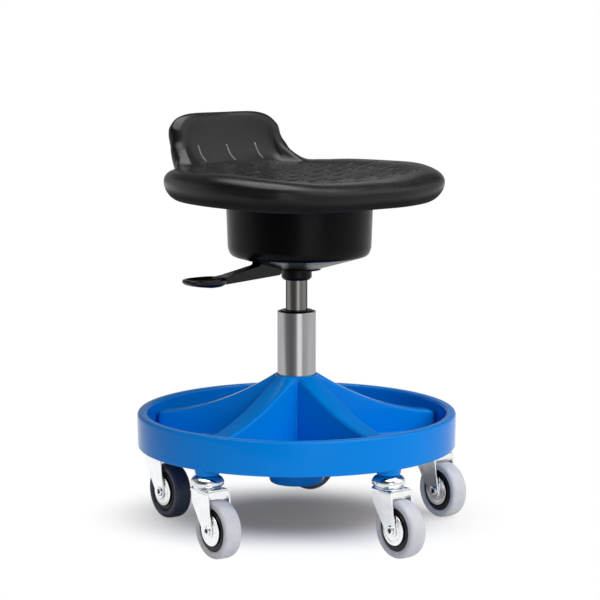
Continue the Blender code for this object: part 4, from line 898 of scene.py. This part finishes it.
def tray():
    """The closed moulding, with its castor bosses and the webs under its ribs."""
    bm = bmesh.new()
    rows, last = top_rows()
    rows += level_rings(rim_profile(), last) + under_rows()
    skin(bm, rows + rows[:1])
    boss = softened(BOSS, BOSS_ROUND, False)
    for k in range(CASTORS):
        x, y = castor_place(k)
        turned(bm, boss, BOSS_SIDES, shift(x, y, 0.0))
        move = spin(math.degrees(castor_turn(k)))
        for side in (-1.0, 1.0):
            rows = []
            for r, depth in WEB_DEPTHS:
                wide = rib_half(r) + RIB_SLOPE * (rib_top(r) - FLOOR_UNDER) - WEB_IN
                d = side * min(wide, WEB_MOST * r)
                high, low = FLOOR_UNDER + ROOTED, FLOOR_UNDER - depth
                corners = ((d - WEB_ROOT, high), (d + WEB_ROOT, high), (d + WEB_FOOT, low),
                           (d - WEB_FOOT, low))
                rows.append([move @ Vector((cx, -r, cz)) for cx, cz in corners])
            solid(bm, rows)
    piece("tool_tray", bm, BLUE, "base", ["tray"], "blue_plastic", TRAY_SHARP)


tray()


# Gas spring and its socket, as profiles of (radius, height)

ROD_FOOT, ROD_TOP = (corner.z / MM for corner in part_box("pressure_tube"))
COLLAR_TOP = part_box("socket_tube")[1].z / MM - 14.0
TUBE_PROFILE = [(23.0, TUBE_TOP), (25.0, TUBE_TOP), (25.0, TUBE_FOOT + TUBE_TAPER),
                (23.8, TUBE_FOOT), (4.6, TUBE_FOOT), (4.6, TUBE_FOOT + 3.0),
                (21.8, TUBE_FOOT + 3.0), (23.0, TUBE_FOOT + TUBE_TAPER)]
BUSH_PROFILE = [(14.5, TUBE_TOP + 1.6), (20.5, TUBE_TOP + 1.6), (22.7, TUBE_TOP - 0.2),
                (22.7, TUBE_TOP - 76.0), (14.5, TUBE_TOP - 76.0)]
ROD_PROFILE = [(0.0, ROD_FOOT), (14.0, ROD_FOOT), (14.0, SOCKET_FOOT), (13.2, ROD_TOP),
               (0.0, ROD_TOP)]
COLLAR_PROFILE = [(14.4, SOCKET_FOOT), (16.8, SOCKET_FOOT), (19.75, SOCKET_FOOT + 3.2),
                  (19.75, COLLAR_TOP), (14.4, COLLAR_TOP)]
SPRING = (
    ("spring_outer_tube", softened(TUBE_PROFILE, 0.7), 128, TUBE, "base", "column_tube",
     "tube_steel"),
    ("spring_guide_bush", softened(BUSH_PROFILE, 0.8), 96, NYLON, "base", "guide_bush",
     "black_plastic"),
    ("spring_pressure_tube", softened(ROD_PROFILE, 1.0, False), 96, ROD, "seat", "pressure_tube",
     "tube_steel"),
    ("spring_socket", softened(COLLAR_PROFILE, 0.8), 96, NYLON, "seat", "socket_tube",
     "tube_steel"),
)
for name, profile, sides, mat, body, node, slot in SPRING:
    bm = bmesh.new()
    turned(bm, profile, sides)
    piece(name, bm, mat, body, [node], slot)


# Round cover under the seat, with the slot that the lever comes out of

COVER_DEEP = COVER_TOP - COVER_FOOT
COVER_PROFILE = [  # radius, height over its foot, from the middle out and back inside
    (0.0, 0.0), (27.5, 0.0), (88.9, 17.6), (92.5, 26.0), (94.5, COVER_DEEP), (92.0, COVER_DEEP),
    (90.0, 27.0), (86.0, 20.0), (27.5, 2.5), (0.0, 2.5)]
COVER_ROUND, COVER_ROUND_STEPS, COVER_SIDES = 6.0, 6, 144
SLOT = [(-86.0, -14.0), (-23.0, -14.0), (-23.0, 14.0), (-86.0, 14.0)]
MOUTH_LOW, MOUTH_HIGH = COVER_FOOT - 8.0, COVER_FOOT + 12.0
MOUTH_PROFILE = [(0.0, MOUTH_LOW), (20.2, MOUTH_LOW), (20.2, MOUTH_HIGH), (0.0, MOUTH_HIGH)]


def mechanism_cover():
    bm = bmesh.new()
    outside = softened([(r, COVER_FOOT + z) for r, z in COVER_PROFILE], COVER_ROUND, False,
                       COVER_ROUND_STEPS)
    turned(bm, outside, COVER_SIDES, shift(0.0, -COVER_FORWARD, 0.0))
    cover = piece("mechanism_cup", bm, COVER_BLACK, "seat", ["mechanism_cover"], "black_plastic")
    bm = bmesh.new()
    extruded(bm, SLOT, MOUTH_LOW, PIVOT_Z)
    turned(bm, MOUTH_PROFILE, 64)
    cutter = piece("cutter", bm, COVER_BLACK, "seat")
    cut = cover.modifiers.new("slot", "BOOLEAN")
    cut.operation, cut.solver, cut.use_self = "DIFFERENCE", "EXACT", True
    cut.object = cutter
    baked(cover)
    bpy.data.objects.remove(cutter, do_unlink=True)
    shade(cover.data, SHARP)


mechanism_cover()


# Height lever: flat arm with a heel, pivot eye, tongue and a dished paddle

LEVER_TIP, PADDLE_IN, PADDLE_HALF = -179.5, -119.5, 20.0
ARM_ROOT = PADDLE_IN - 13.0
ARM = [  # side view: x, z
    (ARM_ROOT, PADDLE_TOP - 9.9), (-34.0, PADDLE_TOP - 4.4), (-31.0, PADDLE_TOP - 1.4),
    (-31.0, PIVOT_Z - 3.2), (-57.6, PIVOT_Z - 3.2), (-66.0, COVER_FOOT + 8.5),
    (-117.0, PADDLE_TOP + 1.2), (ARM_ROOT, PADDLE_TOP - 0.6)]
ARM_HALF, ARM_EDGE, ARM_ROUND = 9.0, 1.2, 2.5
EYE = [(3.4, 11.5), (8.0, 11.5), (8.0, -11.5), (3.4, -11.5)]
TONGUE = [
    (-44.0, PIVOT_Z - 4.0), (-36.0, PIVOT_Z - 4.0), (-36.0, TONGUE_LOW), (3.5, TONGUE_LOW),
    (3.5, TONGUE_HIGH), (-44.0, TONGUE_HIGH)]
TONGUE_HALF = 6.0
PADDLE_RINGS = (  # share of the outline, height against the top, from the dish out and under
    (0.0, -4.5), (0.3, -4.4), (0.6, -3.7), (0.78, -2.0), (0.86, -0.5), (0.91, 0.0),
    (0.96, -0.5), (0.99, -2.0), (1.0, -4.2), (0.98, -6.4), (0.92, -8.6), (0.80, -10.4),
    (0.55, -11.0), (0.0, -11.0))
PADDLE_SIDES, PADDLE_SQUARE, TIP_THIN = 48, 0.8, 0.35
LEVER_SHARP = 40.0


def squared(value):
    """Bends a circle's sine or cosine towards a square with round corners."""
    return math.copysign(abs(value) ** PADDLE_SQUARE, value)


def lever():
    bm = bmesh.new()
    outline = [tuple(p) for p in softened(ARM, ARM_ROUND)]
    middle = Vector((sum(p[0] for p in outline), sum(p[1] for p in outline))) / len(outline)
    stand = spin(90.0, "X")
    levels = chamfered(outline, middle, -ARM_HALF, ARM_HALF, ARM_EDGE)
    rows = [[stand @ Vector((x, z, level)) for x, z in ring] for level, ring in levels]
    solid(bm, rows)
    turned(bm, softened(EYE, 0.8), 40, shift(PIVOT_X, 0.0, PIVOT_Z) @ stand)
    extruded(bm, TONGUE, -TONGUE_HALF, TONGUE_HALF, stand)

    centre, reach = 0.5 * (LEVER_TIP + PADDLE_IN), 0.5 * (PADDLE_IN - LEVER_TIP)
    rows = []
    for share, down in PADDLE_RINGS:
        row = []
        for i in range(PADDLE_SIDES):
            a = 2.0 * math.pi * i / PADDLE_SIDES
            x, y = share * squared(math.cos(a)), share * squared(math.sin(a))
            thin = 1.0 - TIP_THIN * max(0.0, -x)
            row.append(Vector((centre + reach * x, PADDLE_HALF * y, PADDLE_TOP + thin * down)))
        rows.append(row)
    skin(bm, rows)
    piece("height_lever", bm, LEVER_BLACK, "lever", ["lever"], "black_plastic", LEVER_SHARP)


lever()


# Castors. Each is drawn round its own swivel axis, the wheel trailing towards -Y.

FORK_IN, FORK_OUT = 14.3, 16.7
FORK_LEAD, FORK_REAR, FORK_LIP = 13.0, 25.0, 9.0
FORK_DROP = 18.0
FORK_EYE, EYE_START, EYE_END = 9.5, -37.0, -165.0
FORK_EDGE = 0.4
FOLD_START, FOLD_IN = 1.0, 1.8
CHEEK_TOP = CROWN_TOP - 3.0
CHEEK_MIDDLE = Vector((-10.0, 58.0))
CROWN_ROUND, CROWN_IN_ROUND, CROWN_DEEP = 4.0, 1.6, 5.0
LIP_WIDER, LIP_BELOW, LIP_ROUND = 0.3, 1.0, 0.8
BALLS, RACE_R, BALL_R, RACE_Z = 22, 16.9, 1.3, CUP_TOP - 7.0
WHEEL_PLACE = shift(0.0, -TRAIL, WHEEL_R) @ spin(90.0, "Y")


# Profiles about the axle: radius, and distance from the wheel's middle. The tyre has round
# shoulders and the faint parting groove of its mould, the core is a stepped ring with a hub and
# a groove against the tyre, a thread guard is a pressed disc with a raised ring round the axle,
# and the axle is a hollow rivet with rolled heads and a deep recess at each end.
TYRE = [(27.0, 11.0), (30.5, 12.0), (33.6, 11.8), (35.8, 9.4), (WHEEL_R, 5.0), (WHEEL_R, 0.8),
        (WHEEL_R - 0.3, 0.3)]
CORE = [(5.4, 12.5), (10.0, 12.5), (20.0, 9.0), (20.8, 10.4), (24.2, 10.6), (25.2, 9.4),
        (26.7, 9.6)]
GUARD = [(5.4, 14.0), (9.6, 14.0), (11.0, 13.6), (14.2, 13.1), (15.2, 13.5), (16.4, 13.2),
         (19.5, 12.7), (19.5, 11.5), (10.6, 12.8), (5.4, 12.8)]
AXLE = [(0.0, 12.0), (3.0, 12.0), (3.5, 18.4), (4.8, 18.6), (6.2, 17.9), (6.4, 17.0), (5.0, 17.0)]
# Dark disc at the bottom of each rivet recess: painted shade
BORE_SHADE_DISC = [(0.0, 17.2), (2.9, 17.2), (2.9, 16.0), (0.0, 16.0)]


def both_sides(side):
    """Half profile of (radius, distance from the middle), and its mirror image."""
    return side + [(r, -x) for r, x in reversed(side)]


def cheek_outline():
    """Side view of a cheek: (y, z) round the leading edge, the eye and the rear edge."""
    corners = [(FORK_LEAD, CHEEK_TOP), (FORK_LEAD, CROWN_TOP - FORK_DROP), (-8.0, WHEEL_R - 2.0)]
    lead = [tuple(p) for p in softened(corners, 3.0, False)][:-1]
    eye = arc(-TRAIL, WHEEL_R, FORK_EYE, EYE_START, EYE_END, 14)
    rear = [(-FORK_REAR - 1.0, CROWN_TOP - FORK_LIP), (-FORK_REAR, CHEEK_TOP)]
    return lead + eye + rear + [(FOLD_START, CHEEK_TOP)]


def fork_mesh(bm):
    """Pressed fork: two cheeks folded ahead of the axle, crown, rear lip and raceway boss."""
    outline = cheek_outline()
    folds = [FOLD_IN * max(0.0, y - FOLD_START) / (FORK_LEAD - FOLD_START) for y, _ in outline]
    for side in (-1.0, 1.0):
        levels = chamfered(outline, CHEEK_MIDDLE, FORK_IN, FORK_OUT, FORK_EDGE)
        rows = [[Vector((side * (level - fold), *point)) for point, fold in zip(ring, folds)]
                for level, ring in levels]
        solid(bm, rows)
    bend, low, high = FORK_OUT - CROWN_ROUND, CROWN_TOP - CROWN_DEEP, CROWN_TOP - CROWN_ROUND
    section = [(-FORK_OUT, low)] + arc(-bend, high, CROWN_ROUND, 180.0, 90.0, 6)
    section += arc(bend, high, CROWN_ROUND, 90.0, 0.0, 6) + [(FORK_OUT, low), (FORK_IN, low)]
    section += arc(bend, high, CROWN_IN_ROUND, 0.0, 90.0, 4)
    section += arc(-bend, high, CROWN_IN_ROUND, 90.0, 180.0, 4) + [(-FORK_IN, low)]
    rows = [[Vector((x, y, z)) for x, z in section] for y in (-FORK_REAR, FORK_LEAD)]
    solid(bm, rows)
    half, foot, top = FORK_IN + LIP_WIDER, CROWN_TOP - FORK_LIP, CROWN_TOP - LIP_BELOW
    lip = softened([(-half, foot), (half, foot), (half, top), (-half, top)], LIP_ROUND)
    rows = [[Vector((x, -FORK_REAR + t, z)) for x, z in lip] for t in (0.0, FORK_OUT - FORK_IN)]
    solid(bm, rows)
    race = [(5.4, -1.2), (17.5, -1.2), (17.0, 1.0), (15.5, 3.0), (15.5, 11.5), (5.4, 11.5)]
    turned(bm, softened([(r, CROWN_TOP + z) for r, z in race], 1.4), 64)


def stem_mesh(bm):
    """Swivel head: domed cup that swells from the boss, stem above and rivet head below."""
    cup = [(0.0, 12.0), (5.0, 12.0), (5.0, 0.0), (14.5, 0.0), (19.0, -3.0), (21.2, -7.0),
           (20.6, -11.0), (18.6, -13.0), (17.2, -12.6), (18.2, -6.0), (16.0, -2.6), (5.0, -2.4)]
    rivet = [(5.0, -0.4), (8.5, -0.4), (8.0, -2.8), (0.0, -2.8)]
    profile = [(r, CUP_TOP + z) for r, z in cup] + [(r, CROWN_UNDER + z) for r, z in rivet]
    turned(bm, softened(profile, 2.4, False), 64)


def on_axle(profile, rounding, sides, closed=True):
    """Draws a turned part of the wheel about its axle."""
    def draw(bm):
        turned(bm, softened(profile, rounding, closed), sides, WHEEL_PLACE)
    return draw


def bore_shade_mesh(bm):
    """Dark discs at the bottoms of the rivet's two bores: painted shade."""
    for side in (-1.0, 1.0):
        turned(bm, [(r, side * x) for r, x in BORE_SHADE_DISC], 24, WHEEL_PLACE)


def ball_tree():
    """A ring of balls between the cup and the raceway boss of a castor head."""
    tree, given = open_tree("ball race", Geometry="Geometry", Balls="Int", Race_radius="Float",
                            Ball_radius="Float", Centre="Vector", Material="Material")
    ring = add(tree, "GeometryNodeMeshCircle",
               {"Vertices": given["Balls"], "Radius": given["Race radius"]})
    ball = add(tree, "GeometryNodeMeshIcoSphere",
               {"Radius": given["Ball radius"], "Subdivisions": 2})
    set_out = add(tree, "GeometryNodeInstanceOnPoints", {"Points": ring, "Instance": ball})
    whole = add(tree, "GeometryNodeRealizeInstances", {"Geometry": set_out})
    moved = add(tree, "GeometryNodeTransform",
                {"Geometry": whole, "Translation": given["Centre"]})
    return close_tree(tree, moved, given["Material"])


def castors():
    tyre, core = on_axle(both_sides(TYRE), 1.6, 128), on_axle(both_sides(CORE), 0.7, 96)
    rivet = on_axle(both_sides(AXLE), 0.8, 48, False)
    right, left = (on_axle([(r, side * x) for r, x in GUARD], 0.5, 96) for side in (1.0, -1.0))
    tree = ball_tree()
    ball_values = {"Balls": BALLS, "Race radius": RACE_R * MM, "Ball radius": BALL_R * MM,
                   "Material": RACE}
    for k in range(CASTORS):
        n = k + 1
        x, y = castor_place(k)
        head = shift(x, y, 0.0)
        trailing = head @ spin(TRAIL_TURNS[k])
        name = "castor_%d_" % n
        body, wheel = "castor_%d" % n, "wheel_%d" % n
        dark = n in DARK_TYRES
        rubber, tyre_slot = (DARK_TYRE, "dark_rubber") if dark else (GREY_TYRE, "grey_rubber")
        plans = (
            ("swivel_head", stem_mesh, RACE, "base", "stem", "zinc"),
            ("pressed_fork", fork_mesh, ZINC, body, "fork", "zinc"),
            ("rivet", rivet, ZINC, body, "axle", "zinc"),
            # Dark discs in the rivet's recesses are painted shade
            ("rivet_bore_shade", bore_shade_mesh, CORE_BLACK, body, None, "zinc"),
            ("left_guard", left, ZINC, body, "guard_left", "zinc"),
            ("right_guard", right, ZINC, body, "guard_right", "zinc"),
            ("wheel_core", core, CORE_BLACK, wheel, "rim", "wheel_core"),
            ("tread", tyre, rubber, wheel, "tyre", tyre_slot),
        )
        for label, draw, mat, rides, node, slot in plans:
            bm = bmesh.new()
            draw(bm)
            bm.transform(head if rides == "base" else trailing)
            piece(name + label, bm, mat, rides, [name + node] if node else (), slot)
        label = name + "balls"
        ball_values["Centre"] = (x * MM, y * MM, RACE_Z * MM)
        grown(label, bpy.data.meshes.new(label), tree, ball_values, body, "zinc")


castors()


# Solids that stay as they are get their finishes

KEPT = {
    TUBE: ["thrust_bearing", "piston_rod", "retaining_clip", "mechanism_plate"],
    ZINC: ["plate_screw_1", "plate_screw_2", "plate_screw_3", "plate_screw_4", "lever_pin"],
    BRASS: ["valve_pin"],
    BOARD: ["seat_board"],
    NYLON: ["cover_washer"],
}
for mat, names in KEPT.items():
    for name in names:
        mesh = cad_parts[name].data
        mesh.materials.clear()
        mesh.materials.append(mat)


# Studio: pale floor, white surroundings and three very soft lamps. Distances are in metres,
# and turns in degrees from the camera to the right.

FLOOR_NEAR, FLOOR_FAR, FLOOR_SIDE = 0.62, 9.0, 7.0
FLOOR_DROP = 0.0002
SHADOW_NARROW, SHADOW_BACK = 0.75, 0.05
# Floor tint painted warm round the object, offsetting the blue bounce light in its shadow
WARM_FROM, WARM_TO = 0.06, 0.18
# Where the floor glows white to camera rays, and how much it glows near the object: painted light
# that fades and lifts the cast shadow
GLOW_FROM, GLOW_TO, SHADOW_LIFT = 0.07, 0.22, 0.08
# Where reflections see the floor glow white
MIRROR_FROM, MIRROR_TO = 0.13, 0.20
PAPER, SHADOW_OFFSET_TINT, WHITE = linear("#fbfbfb"), linear("#f0d8b8"), linear("#ffffff")

AMBIENT = 0.22
# Turn, half width and what it adds: dim towards the camera, dark gap, bright strip, dim back
ROOM_SIDES = ((0.0, 110.0, -0.3), (-43.0, 60.0, -0.5), (17.0, 20.0, 1.0), (180.0, 70.0, -0.6))
DIM_FROM, DIM_TO, DIM_LEAST = 0.2, 0.4, 0.3
SCREEN_TURN, SCREEN_HALF, SCREEN_FROM, SCREEN_TO, SCREEN = 80.0, 45.0, 0.25, 0.35, 1.6
OVERHEAD_FROM, OVERHEAD_TO, OVERHEAD = 0.80, 0.90, 5.5

# Name, turn, rise, width in degrees and strength
LAMPS = (("side softbox", 38.0, 32.0, 40.0, 1.3), ("front softbox", -4.0, 14.0, 50.0, 0.6),
         ("top softbox", 75.0, 55.0, 50.0, 1.0))
LAMP_AWAY = 3.0


def toward(turn):
    """Level direction from the object, turned in degrees from the camera to the right."""
    a = math.radians(turn)
    return to_right * math.sin(a) - to_back * math.cos(a)


def floor():
    """Sheet of pale paper under the object that runs off to the back. Close to the object it has a
    painted warm tint that offsets the blue bounce light in the object's shadow. To camera rays it
    glows plain white away from the object and a little near it, and to reflections it glows white
    further out: painted light that fades and lifts the cast shadow."""
    mesh = bpy.data.meshes.new("studio_floor")
    corners = [(-FLOOR_SIDE, -FLOOR_NEAR), (FLOOR_SIDE, -FLOOR_NEAR), (FLOOR_SIDE, FLOOR_FAR),
               (-FLOOR_SIDE, FLOOR_FAR)]
    drop = UP * -FLOOR_DROP
    mesh.from_pydata([to_right * x + to_back * y + drop for x, y in corners], [], [(0, 1, 2, 3)])
    mat, tree, bsdf, place = finish("studio paper with painted glow and tint", "#fbfbfb", Roughness=0.9,
                                    Specular_IOR_Level=0.0)
    across = add(tree, "ShaderNodeVectorMath", {0: place, 1: to_right * SHADOW_NARROW},
                 operation="DOT_PRODUCT")
    along = add(tree, "ShaderNodeVectorMath", {0: place, 1: to_back}, operation="DOT_PRODUCT")
    along = add(tree, "ShaderNodeMath", {0: along.outputs["Value"], 1: SHADOW_BACK},
                operation="SUBTRACT")
    spot = add(tree, "ShaderNodeCombineXYZ", {"X": across.outputs["Value"], "Y": along})
    length = add(tree, "ShaderNodeVectorMath", {0: spot}, operation="LENGTH")
    away = length.outputs["Value"]
    reach = add(tree, "ShaderNodeMapRange",
                {"Value": away, "From Min": WARM_FROM, "From Max": WARM_TO})
    # Painted warm tint round the object, against the blue bounce light in its shadow
    warm = add(tree, "ShaderNodeMix", {"Factor": reach, "A": SHADOW_OFFSET_TINT, "B": PAPER},
               data_type="RGBA")
    tree.links.new(warm.outputs["Result"], bsdf.inputs["Base Color"])
    light = add(tree, "ShaderNodeLightPath").outputs
    # Painted glow: white for camera rays outside an oval round the object and a little inside it,
    # which fades and lifts the cast shadow
    paper = add(tree, "ShaderNodeMapRange",
                {"Value": away, "From Min": GLOW_FROM, "From Max": GLOW_TO,
                 "To Min": SHADOW_LIFT}, interpolation_type="SMOOTHSTEP")
    far = add(tree, "ShaderNodeMath", {0: paper, 1: light["Is Camera Ray"]}, operation="MULTIPLY")
    outside = add(tree, "ShaderNodeMapRange",
                  {"Value": away, "From Min": MIRROR_FROM, "From Max": MIRROR_TO})
    far = add(tree, "ShaderNodeMath", {0: outside, 1: light["Is Glossy Ray"], 2: far},
              operation="MULTIPLY_ADD")
    white = add(tree, "ShaderNodeEmission", {"Color": WHITE, "Strength": 1.0})
    both = add(tree, "ShaderNodeMixShader", {0: far, 1: bsdf, 2: white})
    tree.links.new(both.outputs[0], tree.nodes["Material Output"].inputs["Surface"])
    mesh.materials.append(mat)
    placed("studio_floor", mesh)


def lamp(name, turn, rise, angle, strength):
    """Wide soft lamp, far off, in a direction turned from the camera and raised."""
    data = bpy.data.lights.new(name, "SUN")
    data.angle = math.radians(angle)
    data.energy = strength
    obj = placed(name, data)
    place = toward(turn) * math.cos(math.radians(rise)) + UP * math.sin(math.radians(rise))
    obj.location = LAMP_AWAY * place
    obj.rotation_euler = (-place).to_track_quat("-Z", "Y").to_euler()
    obj.visible_glossy = False


def lobe(tree, level, turn, half_width):
    """How near a direction is to one side of the room, from 0 to 1."""
    near = add(tree, "ShaderNodeVectorMath", {0: level, 1: toward(turn)}, operation="DOT_PRODUCT")
    edge = math.cos(math.radians(half_width))
    return add(tree, "ShaderNodeMapRange",
               {"Value": near.outputs["Value"], "From Min": edge, "From Max": 1.0},
               interpolation_type="SMOOTHSTEP")


def surroundings():
    """White room. Glossy pieces see it with brighter and darker sides, dimmer higher up, with
    a screen to the right and a softbox overhead."""
    world = bpy.data.worlds.new("studio")
    bpy.context.scene.world = world
    world.use_nodes = True
    tree = world.node_tree
    tree.nodes.clear()
    light = add(tree, "ShaderNodeLightPath").outputs
    way = add(tree, "ShaderNodeTexCoord").outputs["Generated"]
    level = add(tree, "ShaderNodeVectorMath", {0: way, 1: (1.0, 1.0, 0.0)}, operation="MULTIPLY")
    level = add(tree, "ShaderNodeVectorMath", {0: level}, operation="NORMALIZE")
    rise = add(tree, "ShaderNodeSeparateXYZ", {0: way}).outputs["Z"]
    room = 1.0
    for turn, half_width, change in ROOM_SIDES:
        side = lobe(tree, level, turn, half_width)
        room = add(tree, "ShaderNodeMath", {0: side, 1: change, 2: room},
                   operation="MULTIPLY_ADD")
    over = add(tree, "ShaderNodeMapRange",
               {"Value": rise, "From Min": DIM_FROM, "From Max": DIM_TO, "To Min": 1.0,
                "To Max": DIM_LEAST})
    room = add(tree, "ShaderNodeMath", {0: room, 1: over}, operation="MULTIPLY")
    screen = lobe(tree, level, SCREEN_TURN, SCREEN_HALF)
    low_edge = add(tree, "ShaderNodeMapRange",
                   {"Value": rise, "From Min": SCREEN_FROM, "From Max": SCREEN_TO})
    screen = add(tree, "ShaderNodeMath", {0: screen, 1: low_edge}, operation="MULTIPLY")
    room = add(tree, "ShaderNodeMath", {0: screen, 1: SCREEN, 2: room},
               operation="MULTIPLY_ADD")
    above = add(tree, "ShaderNodeMapRange",
                {"Value": rise, "From Min": OVERHEAD_FROM, "From Max": OVERHEAD_TO})
    room = add(tree, "ShaderNodeMath", {0: above, 1: OVERHEAD, 2: room},
               operation="MULTIPLY_ADD")
    mirrored = add(tree, "ShaderNodeMath",
                   {0: light["Is Glossy Ray"], 1: light["Is Transmission Ray"]},
                   operation="MAXIMUM")
    ambient = add(tree, "ShaderNodeBackground", {"Color": WHITE, "Strength": AMBIENT})
    seen = add(tree, "ShaderNodeBackground", {"Color": WHITE, "Strength": room})
    white = add(tree, "ShaderNodeBackground", {"Color": WHITE, "Strength": 1.0})
    both = add(tree, "ShaderNodeMixShader", {0: mirrored, 1: ambient, 2: seen})
    whole = add(tree, "ShaderNodeMixShader", {0: light["Is Camera Ray"], 1: both, 2: white})
    add(tree, "ShaderNodeOutputWorld", {"Surface": whole})


floor()
surroundings()
for settings in LAMPS:
    lamp(*settings)

bpy.context.scene.view_settings.view_transform = "Standard"
